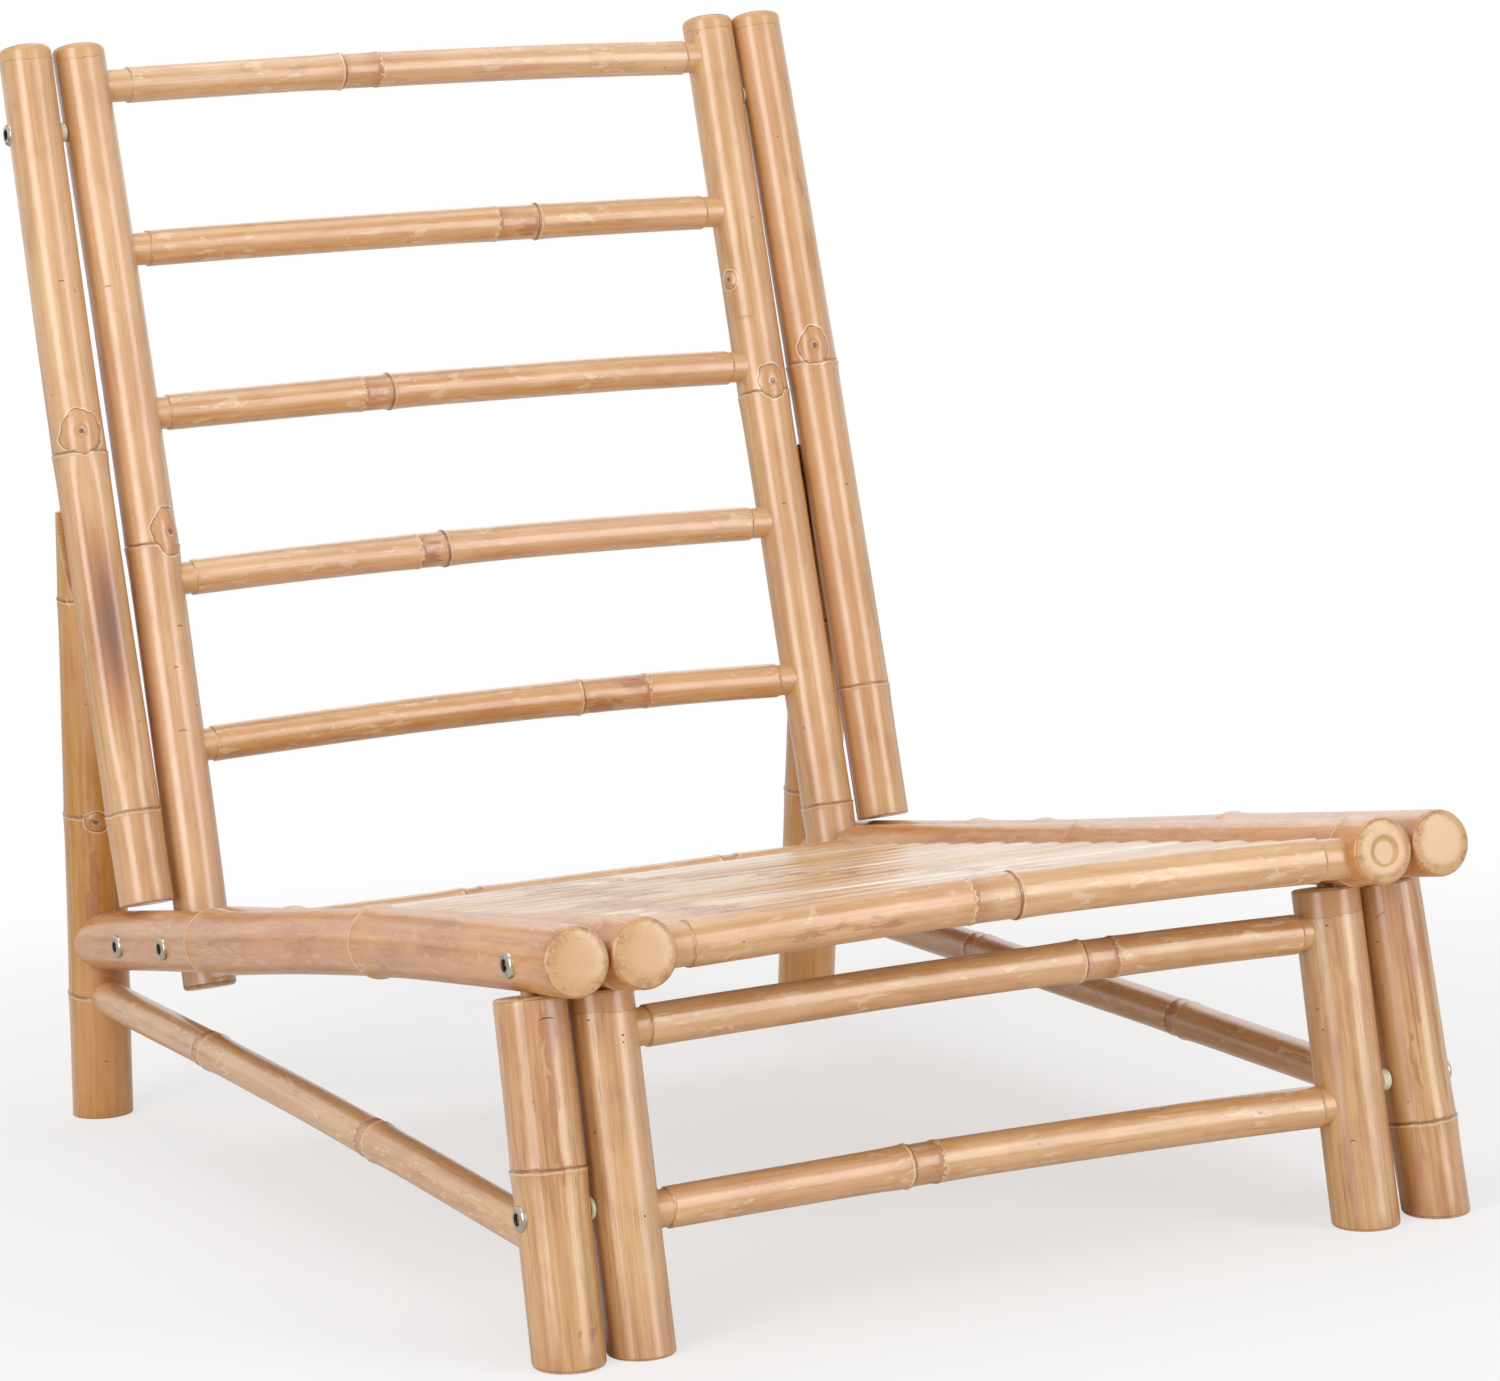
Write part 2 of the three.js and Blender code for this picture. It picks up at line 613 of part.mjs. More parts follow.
// Bolts: button heads with a hexagon socket, each screwed into a steel insert in the inner culm
const boltHeadRadius = 8;
const boltHeadHeight = 3.4;
const boltRimHeight = 1.2;
const boltCrownRadius = 5.2;
const socketRadius = 2.6;
const socketSides = 6;
const socketDepth = 2;
const shankRadius = 3;
const insertRadius = 4.6;
const insertLength = 14;
const insertPastAxis = 2; // the insert ends this far past the inner culm's axis
const spacerRadius = 7;
const topBoltDrop = 63; // from the top of the stiles
const lowBoltHeight = 86; // bolt through the front legs, above the floor
const seatFrontBoltSetback = 54.5; // from the seat panel's front end
const seatRearBoltSetback = 54; // and from its rear end

function boltOutline(length, grow) {
  return [
    [0, -grow],
    [insertRadius + grow, -grow],
    [insertRadius + grow, insertLength + grow],
    [shankRadius + grow, insertLength + grow],
    [shankRadius + grow, length - grow],
    [boltHeadRadius + grow, length - grow],
    [boltHeadRadius + grow, length + boltRimHeight + grow],
    [boltCrownRadius + grow, length + boltHeadHeight + grow],
    [0, length + boltHeadHeight + grow],
  ].map(([r, place]) => new THREE.Vector2(r, place));
}

// A bolt along X from a point inside the inner culm to its head on the outer culm's skin
function addBolt(name, side, place, outer, inner) {
  const bite = outer.radius - Math.sqrt(outer.radius ** 2 - boltHeadRadius ** 2);
  const start = atSide(place, side, innerPlane - insertPastAxis);
  const seat = atSide(place, side, outer.plane + outer.radius - bite);
  const length = start.distanceTo(seat);
  const frame = frameBetween(start, seat);
  const turned = (grow) => {
    return new THREE.LatheGeometry(boltOutline(length, grow), boltSides).applyMatrix4(frame);
  };
  const recess = new THREE.CylinderGeometry(socketRadius, socketRadius, 2 * socketDepth, socketSides);
  recess.translate(0, length + boltHeadHeight, 0).applyMatrix4(frame);
  const solid = solidFrom(turned(0)).subtract(solidFrom(recess));
  const steel = new THREE.MeshStandardMaterial({ color: 0xb9b6ae, roughness: 0.25, metalness: 1 });
  addSolid(name, "bolts", frame, solid, steel, solidFrom(turned(fitGap)));
  bore(outer.name, name);
  bore(inner.name, name);
}

// A spacer ring on the bolt keeps two culms apart.
function addSpacer(name, side, place, innerSkin, gap) {
  const thickness = gap - 2 * fitGap;
  const start = atSide(place, side, innerSkin + fitGap);
  const end = atSide(place, side, innerSkin + fitGap + thickness);
  const hole = shankRadius + fitGap;
  const ring = [[hole, 0], [spacerRadius, 0], [spacerRadius, thickness], [hole, thickness], [hole, 0]];
  const outline = ring.map(([r, height]) => new THREE.Vector2(r, height));
  const frame = frameBetween(start, end);
  const geometry = new THREE.LatheGeometry(outline, boltSides).applyMatrix4(frame);
  const nylon = new THREE.MeshStandardMaterial({ color: 0xe6ddc4, roughness: 0.5, metalness: 0 });
  addSolid(name, "bolts", frame, solidFrom(geometry), nylon);
}

for (const side of sides) {
  const hand = sideName(side);
  const { start: poleStart, end: poleEnd } = pieces[`outer_back_pole_${hand}`];
  const shareDown = topBoltDrop / poleStart.distanceTo(poleEnd);
  const pole = {
    name: `outer_back_pole_${hand}`,
    radius: THREE.MathUtils.lerp(backPoleTipRadius, backPoleRadius, shareDown),
    plane: poleTopPlane(hand) + poleFootSpread[hand] * shareDown + bowLift(backPoleBow[hand], shareDown),
  };
  const stileShareDown = topBoltDrop / (stileRise + stileTail);
  const stileSkin = innerPlane - bowLift(stileBow[hand], stileShareDown) + stileRadius;
  const rail = { name: `outer_seat_rail_${hand}`, plane: railPlane, radius: railRadius };
  const legPlane = legPlaneAt(lowBoltHeight, hand);
  const leg = { name: `outer_front_leg_${hand}`, plane: legPlane, radius: frontLegRadius };
  const stile = { name: `back_stile_${hand}` };
  const innerRail = { name: `inner_seat_rail_${hand}` };
  const innerLeg = { name: `inner_front_leg_${hand}` };
  const topPlace = along(backCrossing, upBack, stileRise - topBoltDrop);
  const lowPlace = onFrontLeg(lowBoltHeight);
  addBolt(`bolt_back_top_${hand}`, side, topPlace, pole, stile);
  addBolt(`bolt_back_foot_${hand}`, side, backCrossing, rail, stile);
  const seatRearPlace = along(railFront, alongSeat, innerRailLength - seatRearBoltSetback);
  const seatFrontPlace = along(railFront, alongSeat, seatFrontBoltSetback);
  addBolt(`bolt_seat_rear_${hand}`, side, seatRearPlace, rail, innerRail);
  addBolt(`bolt_seat_front_${hand}`, side, seatFrontPlace, rail, innerRail);
  addBolt(`bolt_leg_${hand}`, side, lowPlace, leg, innerLeg);
  addSpacer(`spacer_back_${hand}`, side, topPlace, stileSkin, pole.plane - pole.radius - stileSkin);
  // The legs draw together upwards, so the spacer fits the gap at its upper edge.
  const legSkin = innerLegPlane(side) + innerLegRadius[hand];
  const narrowest = legPlaneAt(lowBoltHeight + spacerRadius, hand) - frontLegRadius - legSkin;
  addSpacer(`spacer_leg_${hand}`, side, lowPlace, legSkin, narrowest);
}

// Scene graph: one mesh for each piece, placed by its own frame inside its panel's group
const chair = new THREE.Group();
const groups = {};
for (const piece of Object.values(pieces)) {
  if (!groups[piece.group]) {
    groups[piece.group] = new THREE.Group();
    chair.add(groups[piece.group]);
  }
  const cut = piece.solid.getMesh();
  const geometry = new THREE.BufferGeometry();
  geometry.setAttribute("position", new THREE.Float32BufferAttribute(cut.vertProperties, 3));
  geometry.setIndex(Array.from(cut.triVerts));
  geometry.applyMatrix4(piece.frame.clone().invert());
  geometry.computeVertexNormals();
  const mesh = new THREE.Mesh(geometry, piece.material ?? bambooMaterial(piece.color));
  mesh.name = piece.name;
  piece.frame.decompose(mesh.position, mesh.quaternion, mesh.scale);
  groups[piece.group].add(mesh);
}

// The chair stands on the floor with the middle of its footprint over the origin.
const bounds = new THREE.Box3().setFromObject(chair, true);
const middleOfChair = bounds.getCenter(vec(0, 0, 0));
chair.position.set(-middleOfChair.x, -middleOfChair.y, -bounds.min.z);

export default chair;
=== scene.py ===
# A bamboo lounge chair: detailed culms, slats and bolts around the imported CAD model.
# Sizes are in millimetres and angles in degrees, and each mesh is turned into metres as it is made.
import functools
import math

import bpy
import numpy as np
from mathutils import Matrix, Vector


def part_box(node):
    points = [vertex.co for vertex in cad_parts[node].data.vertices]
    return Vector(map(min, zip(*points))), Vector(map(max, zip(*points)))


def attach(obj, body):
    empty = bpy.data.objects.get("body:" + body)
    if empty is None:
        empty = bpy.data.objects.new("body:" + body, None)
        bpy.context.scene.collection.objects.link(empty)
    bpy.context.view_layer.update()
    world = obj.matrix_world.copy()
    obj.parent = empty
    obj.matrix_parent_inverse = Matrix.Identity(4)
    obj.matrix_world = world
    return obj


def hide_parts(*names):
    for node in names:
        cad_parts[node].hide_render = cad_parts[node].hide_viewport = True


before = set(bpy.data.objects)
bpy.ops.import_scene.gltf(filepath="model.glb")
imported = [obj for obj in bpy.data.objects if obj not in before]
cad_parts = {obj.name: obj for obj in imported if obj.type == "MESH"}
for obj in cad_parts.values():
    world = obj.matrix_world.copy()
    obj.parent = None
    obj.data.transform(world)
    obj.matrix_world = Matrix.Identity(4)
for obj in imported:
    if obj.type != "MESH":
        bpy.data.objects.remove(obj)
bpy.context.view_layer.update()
mm = 0.001
scene = bpy.context.scene
print("frame loaded:", len(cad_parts), "nodes")

# Camera, at the photo's angle. Its place and turn were worked out from the chair's own lines.
photo = {
    "width": 1500,  # pixels
    "focal": 4895,  # pixels
    "shift": (60, -50.5),  # pixels, from the middle of the picture
    "place": (-1424.7, -2920.9, 764.5),
    "turn": (-26.03, 7.22, -2.62),  # round the chair, up, and roll
    "sensor": 36,
}


def addCamera(view):
    azimuth, elevation, roll = (math.radians(angle) for angle in view["turn"])
    level = math.cos(elevation)
    back = Vector((math.sin(azimuth) * level, -math.cos(azimuth) * level, math.sin(elevation)))
    right = Vector((0, 0, 1)).cross(back).normalized()
    up = back.cross(right)
    rolledRight = right * math.cos(roll) + up * math.sin(roll)
    rolledUp = up * math.cos(roll) - right * math.sin(roll)
    camera = bpy.data.cameras.new("camera")
    camera.sensor_width = view["sensor"]
    camera.lens = view["focal"] / view["width"] * view["sensor"]
    camera.shift_x, camera.shift_y = (offset / view["width"] for offset in view["shift"])
    holder = bpy.data.objects.new("camera", camera)
    turn = Matrix((rolledRight, rolledUp, back)).transposed().to_4x4()
    holder.matrix_world = Matrix.Translation(Vector(view["place"]) * mm) @ turn
    scene.collection.objects.link(holder)
    scene.camera = holder


addCamera(photo)


# Colours are sRGB hex, as read off a screen.
def linear(hexColor):
    parts = [int(hexColor[i : i + 2], 16) / 255 for i in (1, 3, 5)]
    return tuple(c / 12.92 if c <= 0.04045 else ((c + 0.055) / 1.055) ** 2.4 for c in parts) + (1,)


# Adds one node with its settings and links. A list fills the node's first inputs in order. A value is
# a number, a colour, one output of a node, or a node, which gives its first output that is in use.
def addNode(tree, kind, inputs=(), **settings):
    node = tree.nodes.new("ShaderNode" + kind)
    for name, value in settings.items():
        setattr(node, name, value)
    for socket, value in inputs.items() if isinstance(inputs, dict) else enumerate(inputs):
        if isinstance(value, bpy.types.Node):
            value = next(output for output in value.outputs if output.enabled)
        if isinstance(value, bpy.types.NodeSocket):
            tree.links.new(value, node.inputs[socket])
        else:
            node.inputs[socket].default_value = value
    return node


def newMaterial(name):
    material = bpy.data.materials.new(name)
    material.use_nodes = True
    material.node_tree.nodes.clear()
    return material, functools.partial(addNode, material.node_tree)


# Light and background: a white studio with two tall soft panels in front, one overhead, and a weak one
# high behind the chair, which adds to the sheen of the slats and the tops of the rails
studio = {
    "floorColor": "#f2f2f2",
    "floorRadius": 9000,
    "floorGlow": 0.62,  # share of plain white that the paper shows to the camera near the chair
    "floorFade": (550, 1400),  # from here to here the share rises to all of it
    "worldStrength": 0.37,
    "panels": {  # where from: angle round the chair, distance and height. Then size and watts.
        "keyPanel": {"from": (-60, 3300, 1350), "size": (1600, 2600), "power": 57},
        "fillPanel": {"from": (30, 3300, 1200), "size": (1400, 2600), "power": 43},
        "topPanel": {"from": (180, 300, 3000), "size": (2400, 2400), "power": 27},
        "backPanel": {"from": (154, 3200, 1900), "size": (3200, 1200), "power": 8},
    },
    "aim": (0, 0, 380),
}


def addStudio(look):
    world = bpy.data.worlds.new("studio")
    scene.world = world
    world.use_nodes = True
    world.node_tree.nodes.clear()
    add = functools.partial(addNode, world.node_tree)
    path = add("LightPath")
    # The background is plain white to the camera, and to metal and lacquer that mirror it.
    seen = path.outputs["Is Camera Ray"]
    for ray in ("Is Glossy Ray", "Is Transmission Ray"):
        seen = add("Math", [seen, path.outputs[ray]], operation="MAXIMUM")
    strength = add("MapRange", {"Value": seen, "To Min": look["worldStrength"], "To Max": 1.0})
    background = add("Background", {"Color": (1, 1, 1, 1), "Strength": strength})
    add("OutputWorld", {"Surface": background})

    for name, panel in look["panels"].items():
        light = bpy.data.lights.new(name, "AREA")
        light.shape = "RECTANGLE"
        light.size, light.size_y = (side * mm for side in panel["size"])
        light.energy = panel["power"]
        holder = bpy.data.objects.new(name, light)
        angle, distance, height = panel["from"]
        angle = math.radians(angle)
        place = Vector((math.sin(angle) * distance, -math.cos(angle) * distance, height)) * mm
        holder.location = place
        holder.rotation_euler = (Vector(look["aim"]) * mm - place).to_track_quat("-Z", "Y").to_euler()
        scene.collection.objects.link(holder)

    reach = look["floorRadius"] * mm
    mesh = bpy.data.meshes.new("floor")
    corners = [(-reach, -reach, 0), (reach, -reach, 0), (reach, reach, 0), (-reach, reach, 0)]
    mesh.from_pydata(corners, [], [(0, 1, 2, 3)])
    floor = bpy.data.objects.new("floor", mesh)
    scene.collection.objects.link(floor)
    # Painted paper, matt. It keeps the chair's shadow and fades to plain white away from the chair.
    paper, add = newMaterial("studioPaper")
    away = add("VectorMath", [add("TexCoord").outputs["Object"]], operation="LENGTH")
    low, high = (place * mm for place in look["floorFade"])
    fade = add("MapRange", [away, low, high, look["floorGlow"], 1.0], interpolation_type="SMOOTHSTEP")
    seen = add("Math", [fade, add("LightPath").outputs["Is Camera Ray"]], operation="MULTIPLY")
    shaded = add("BsdfDiffuse", {"Color": linear(look["floorColor"])})
    white = add("Emission", {"Color": (1, 1, 1, 1), "Strength": 1.0})
    add("OutputMaterial", {"Surface": add("MixShader", [seen, shaded, white])})
    mesh.materials.append(paper)


addStudio(studio)
scene.view_settings.view_transform = "Standard"
print("camera, light and floor set")

# Bamboo: the sanded bark of a grass stem under a thin coat of satin lacquer. Bark is a tight skin of
# straight fibres, so it gives long soft highlights, fine streaks that follow the culm, thin lines at
# its node rings, and small dark specks. Cut ends and shaved places are duller, with the fibres as dots.
bambooLooks = {
    "bambooPoles": {"pale": "#daae79", "deep": "#b27a3e", "bare": "#d0a36b",
                    "streak": 0.6, "mottle": 0.5, "peel": 0.0, "dark": 0.35, "pink": 0.45},
    "bambooRails": {"pale": "#d29149", "deep": "#a45f22", "bare": "#cc9c62",
                    "streak": 0.5, "mottle": 0.6, "peel": 0.15, "dark": 0.45, "pink": 0.12},
    "bambooLegs": {"pale": "#d5aa6f", "deep": "#a4692d", "bare": "#bb8145",
                   "streak": 0.8, "mottle": 0.55, "peel": 0.0, "dark": 0.85, "pink": 0.35},
    "bambooBars": {"pale": "#dcb07c", "deep": "#b67d42", "bare": "#d0a46e",
                   "streak": 0.6, "mottle": 0.55, "peel": 0.35, "dark": 0.55, "pink": 0.35},
    "bambooSlats": {"pale": "#f3d8b1", "deep": "#bd8850", "bare": "#dcb88a",
                    "streak": 1.0, "mottle": 0.3, "peel": 0.1, "dark": 0.7, "pink": 0.12},
}
barkColors = {
    "lineBrown": "#84522b",
    "stainBrown": "#8f5a38",
    "sapOrange": "#c1803f",
    "warmBrown": "#a06030",
    "stainOrange": "#ad6a35",
    "bruise": "#643526",
    "pinkBark": "#d6a27c",
    "powder": "#f1dcba",
    "cutPale": "#ca9b64",
    "cutDot": "#a8763f",
    "cutSmudge": "#9c6b3b",
    "speckBrown": "#5f3b1f",
}
bamboo = {
    "speckSpacing": (9, 9, 18),  # twice across and once along
    "dotSpacing": (1, 1, 20 / 3),
    "scarWaver": (-1.08, -0.92),  # the outline of a bud scar lies this far from its middle, as a share
    "ringShift": 0.3,  # the line lies mostly on the swollen side
    "valueOfShade": 0.1,
    "saturationOfShade": -0.2,
    "roughness": 0.42,
    "dullCut": 0.16,
    "dullMottle": 0.08,
    "lacquer": 1.0,
    "lacquerRoughness": 0.24,
    "lacquerIndex": 1.62,
    "index": 1.5,
}
# Noise that is stretched along the culm: its size across and along, its detail and its distortion.
# Real fibres are 0.3 mm across, and they are drawn coarser, so that they show.
barkNoise = {
    "fibre": (1.1, 60, 3, 0),
    "darkFibre": (1.3, 90, 2, 0),
    "bareFibre": (0.9, 30, 3, 0),
    "streak": (4.5, 150, 4, 0.3),
    "mottle": (9, 34, 5, 0.8),
    "drift": (60, 120, 2, 0),
    "pinkPlace": (26, 150, 2, 0),
    "patch": (4.5, 16, 3, 0.6),
    "peelPlace": (30, 60, 2, 0),
    "crackle": (1.8, 1.8, 3, 1.2),
    "wobble": (5, 5, 2, 0),
    "slowWobble": (9, 9, 1, 0),
    "bandWobble": (2.6, 3.5, 2, 0),
    "sapPlace": (3, 16, 3, 0),
}
# The noise's middle part, which is stretched to the whole of a waver
waverRange = (0.3, 0.7)
# Distances kept on the mesh get a natural waver from a noise, this many millimetres either way.
wavers = {
    "ringWave": ("ring", "wobble", 0.25),
    "bandWave": ("band", "bandWobble", 1.7),
    "pitWave": ("pitGap", "crackle", 0.5),
    "stainWave": ("stain", "streak", 0.08),
    "warmWave": ("warm", "patch", 0.3),
    "bareWave": ("bare", "wobble", 0.6),
}
# How far each noise takes the bark from pale to deep: from where to where, how much, and the look's
# own share
barkShades = {
    "streak": (0.36, 0.66, 0.55, "streak"),
    "mottle": (0.42, 0.7, 0.5, "mottle"),
    "drift": (0.35, 0.65, 0.3, None),
    "fibre": (0.35, 0.7, 0.3, "streak"),
}
# Layers of colour, the lowest first: limits, strength and colour. A layer lies where all its limits
# allow it. A limit is an earlier layer or a field, or a field with two places between which the layer
# fades in, and sometimes the two amounts there. A layer with no colour is only a limit for others.
underLayers = {"pinkish": ([("pinkPlace", 0.42, 0.66)], "pink", "pinkBark")}
bareLayers = {"bareFibres": ([("bareFibre", 0.35, 0.65)], 0.35, "sapOrange")}
# Cut ends: the fibres stand out as dots, with smudges and specks towards the rim.
cutLayers = {
    "dots": ([("dotGap", 0.4, 0.2)], 0.35, "cutDot"),
    "rimSmudge": ([("endShare", 0.5, 0.9), ("mottle", 0.5, 0.62)], 0.6, "cutSmudge"),
    "rimSpeck": ([("endShare", 0.6, 0.88), ("crackle", 0.62, 0.68)], 0.7, "speckBrown"),
}
barkLayers = {
    # thin dark fibres here and there, in bunches
    "darkBunch": ([("darkFibre", 0.6, 0.72), ("patch", 0.4, 0.62)], "dark", "stainBrown"),
    # pale patches where the outermost skin has been scraped off, with a darker edge
    "peeled": ([("patch", 0.585, 0.6), ("peelPlace", 0.45, 0.55)], "peel", "powder"),
    "peelEdge": (["peeled", ("patch", 0.57, 0.585), ("patch", 0.6, 0.585)], "peel", "lineBrown"),
    # specks and pinholes
    "speck": ([("speckGap", 0.08, 0.04), ("speckPick", 0.8, 0.82)], 0.7, "speckBrown"),
    # bud scars: a warmer patch, an outline where the bark parts, and the bud's own pit
    "inScar": ([("scarGap", 0.4, -0.4), ("crackle", 0.3, 0.7, 0.45, 0.9)], 0.5, "sapOrange"),
    "scarLine": ([("scarGapSize", 0.55, 0.15)], 0.75, "lineBrown"),
    "scarPale": ([("scarGap", 0.4, 0.8), ("scarGap", 1.8, 1.1)], 0.55, "powder"),
    "pitShadow": ([("pitGap", 6.5, 1.5), ("crackle", 0.25, 0.6, 0.4, 1.0)], 0.45, "warmBrown"),
    "pitRing": ([("pitGap", 1.4, 2.0), ("pitGap", 3.0, 2.4), ("wobble", 0.4, 0.6)], 0.5, "powder"),
    "pit": ([("pitWave", 1.9, 1.0)], 0.85, "speckBrown"),
    # node rings: a thin dark line with a pale lip, and on thin culms an orange band behind it
    "sap": ([("bandSize", 22, 0), ("sapPlace", 0.42, 0.68), "near"], 0.5, "sapOrange"),
    "outside": (["near", ("scarGap", -0.2, 0.5)], 0, None),
    "inBand": ([("ringWave", 0.0, 0.5), ("bandWave", 0.3, -0.2), "outside"], 0, None),
    "deepBand": (["inBand", ("band", -16, -1, 0.35, 1.0), ("crackle", 0.3, 0.62, 0.35, 1.0)],
                 0.62, "warmBrown"),
    "ringLine": ([("ringLineGapSize", 1.08, 0.36), "outside"], 0, None),
    "ringShade": (["ringLine", ("slowWobble", 0.3, 0.5, 0.55, 1.0)], 0.88, "lineBrown"),
    "ringLip": ([("ringWave", -3.0, -2.2), ("ringWave", -1.1, -1.6), "outside"], 0.4, "powder"),
    "bandLine": ([("bandWaveSize", 0.7, 0.2), "outside"], 0.4, "lineBrown"),
    "bandLip": ([("bandWave", 0.3, 0.7), ("bandWave", 2.2, 1.2), "outside"], 0.5, "powder"),
    # stains under the bark: purplish bruises, and warm brown patches with broken edges
    "stainHalo": ([("stainWave", 0.08, 0.5)], 0.6, "stainOrange"),
    "stainCore": ([("stainWave", 0.3, 1.1)], 0.8, "bruise"),
    "warmPatch": ([("warmWave", 0.32, 0.55)], 0.66, "warmBrown"),
    # shaved places past the edge of the bark, and cut ends
    "isBare": ([("bareWave", -0.15, 0.25)], 0.8, "bareWood"),
    "bareLine": ([("bareWaveSize", 0.45, 0.12)], 0.5, "lineBrown"),
    "cutEnd": (["endGrain"], 1.0, "cutWood"),
    "rimLine": ([("endGrain", 0.02, 0.4), ("endGrain", 0.98, 0.6)], 0.8, "lineBrown"),
    "bandCrackle": (["inBand", "crackle"], 0, None),
}
# Fine relief in millimetres: fibres, crackle in the bands, and the lines of rings and scars
barkRelief = {
    "fibre": 0.06,
    "mottle": 0.06,
    "peeled": 0.1,
    "ringLine": -0.25,
    "scarLine": -0.3,
    "pit": -0.5,
    "bareLine": -0.12,
    "bandCrackle": 0.15,
    "speck": -0.3,
}


def bambooMaterial(name, tones):
    material, add = newMaterial(name)
    smoothly = {"interpolation_type": "SMOOTHSTEP"}
    colors = {key: linear(value) for key, value in barkColors.items()}

    # Fields: what the mesh keeps, the noises, and the distances worked out from both
    grain, scar = (add("Attribute", attribute_name=key).outputs["Vector"] for key in ("grain", "scar"))
    fields = {key: add("Attribute", attribute_name=key).outputs["Fac"]
              for key in ("shade", "ring", "band", "near", "stain", "warm", "bare", "endGrain", "endShare")}
    for key, (across, along, detail, distortion) in barkNoise.items():
        scaled = add("VectorMath", [grain, (1 / across, 1 / across, 1 / along)], operation="MULTIPLY")
        fields[key] = add("TexNoise", {"Vector": scaled, "Scale": 1.0, "Detail": detail,
                                       "Distortion": distortion})
    for key, spacing in (("speckGap", bamboo["speckSpacing"]), ("dotGap", bamboo["dotSpacing"])):
        scaled = add("VectorMath", [grain, [1 / size for size in spacing]], operation="MULTIPLY")
        fields[key] = add("TexVoronoi", {"Vector": scaled, "Scale": 1.0})
    fields["speckPick"] = add("SeparateColor", [fields["speckGap"].outputs["Color"]])
    across, along, size = add("SeparateXYZ", [scar]).outputs
    away = add("Math", [along, along], operation="MULTIPLY")
    away = add("Math", [across, across, away], operation="MULTIPLY_ADD")
    away = add("Math", [away], operation="SQRT")
    outline = add("MapRange", [fields["slowWobble"], *waverRange, *bamboo["scarWaver"]], **smoothly)
    outline = add("Math", [away, outline], operation="ADD")
    fields["pitGap"] = add("Math", [away, size], operation="MULTIPLY")
    fields["scarGap"] = add("Math", [outline, size], operation="MULTIPLY")
    for key, (base, noise, reach) in wavers.items():
        wave = add("MapRange", [fields[noise], *waverRange, -reach, reach], **smoothly)
        fields[key] = add("Math", [fields[base], wave], operation="ADD")
    fields["ringLineGap"] = add("Math", [fields["ringWave"], bamboo["ringShift"]], operation="ADD")
    for key in ("scarGap", "band", "bandWave", "ringLineGap", "bareWave"):
        fields[key + "Size"] = add("Math", [fields[key]], operation="ABSOLUTE")

    def painted(color, layers):
        for key, (limits, strength, colorName) in layers.items():
            mask = None
            for limit in limits:
                if isinstance(limit, str):
                    here = fields[limit]
                else:
                    here = add("MapRange", [fields[limit[0]], *limit[1:]], **smoothly)
                mask = here if mask is None else add("Math", [mask, here], operation="MULTIPLY")
            fields[key] = mask
            if colorName:
                share = add("Math", [mask, tones.get(strength, strength)], operation="MULTIPLY")
                color = add("Mix", {0: share, 6: color, 7: colors[colorName]}, data_type="RGBA")
        return color

    # Bark tone: streaks, mottling and a slow drift between pale and deep honey, then each culm's own shade
    tone = 0.0
    for key, (low, high, amount, share) in barkShades.items():
        limited = add("MapRange", [fields[key], low, high], **smoothly)
        tone = add("Math", [limited, amount * tones.get(share, 1), tone], operation="MULTIPLY_ADD")
    color = add("Mix", {0: tone, 6: linear(tones["pale"]), 7: linear(tones["deep"])}, data_type="RGBA")
    value, saturation = (add("Math", [fields["shade"], bamboo[key], 1.0], operation="MULTIPLY_ADD")
                         for key in ("valueOfShade", "saturationOfShade"))
    color = add("HueSaturation", {"Value": value, "Saturation": saturation,
                                  "Color": painted(color, underLayers)})
    colors["bareWood"] = painted(linear(tones["bare"]), bareLayers)
    colors["cutWood"] = painted(colors["cutPale"], cutLayers)
    color = painted(color, barkLayers)

    height = 0.0
    for key, amount in barkRelief.items():
        amount *= tones["peel"] if key == "peeled" else 1
        height = add("Math", [fields[key], amount, height], operation="MULTIPLY_ADD")
    bump = add("Bump", {"Height": height, "Strength": 1.0, "Distance": mm})
    dull = add("Math", [fields["isBare"], fields["endGrain"]], operation="MAXIMUM")
    rough = add("Math", [dull, bamboo["dullCut"], bamboo["roughness"]], operation="MULTIPLY_ADD")
    mottled = add("MapRange", [fields["mottle"], 0.35, 0.7], **smoothly)
    rough = add("Math", [mottled, bamboo["dullMottle"], rough], operation="MULTIPLY_ADD")
    skin = add("BsdfPrincipled",
               {"Base Color": color, "Roughness": rough, "Normal": bump, "IOR": bamboo["index"],
                "Coat Weight": bamboo["lacquer"], "Coat Roughness": bamboo["lacquerRoughness"],
                "Coat IOR": bamboo["lacquerIndex"]})
    add("OutputMaterial", {"Surface": skin})
    return material


bambooMaterials = {name: bambooMaterial(name, tones) for name, tones in bambooLooks.items()}
print("bamboo materials made:", len(bambooMaterials))

# Bright nickel over turned steel: smooth, slightly warm, with sharp reflections and a faint turned
# grain. The sockets and their rims get painted shade: a near-black, half-dull steel for the recess.
metals = {
    "brightNickel": {"color": "#bdb3a6", "roughness": 0.17, "metallic": 1.0},
    # painted shade: the near-black inside of each socket recess
    "socketPaintedShade": {"color": "#1d1814", "roughness": 0.5, "metallic": 0.6},
}
metalWear = {
    "turnedMarks": 2.6,  # to a millimetre
    "wornSpots": 0.26,  # to a millimetre
    "roughnessFrom": -0.05,
    "roughnessTo": 0.12,
    "tarnish": "#6f5f4c",
    "tarnishShare": 0.4,
    "markDepth": 0.05,
}


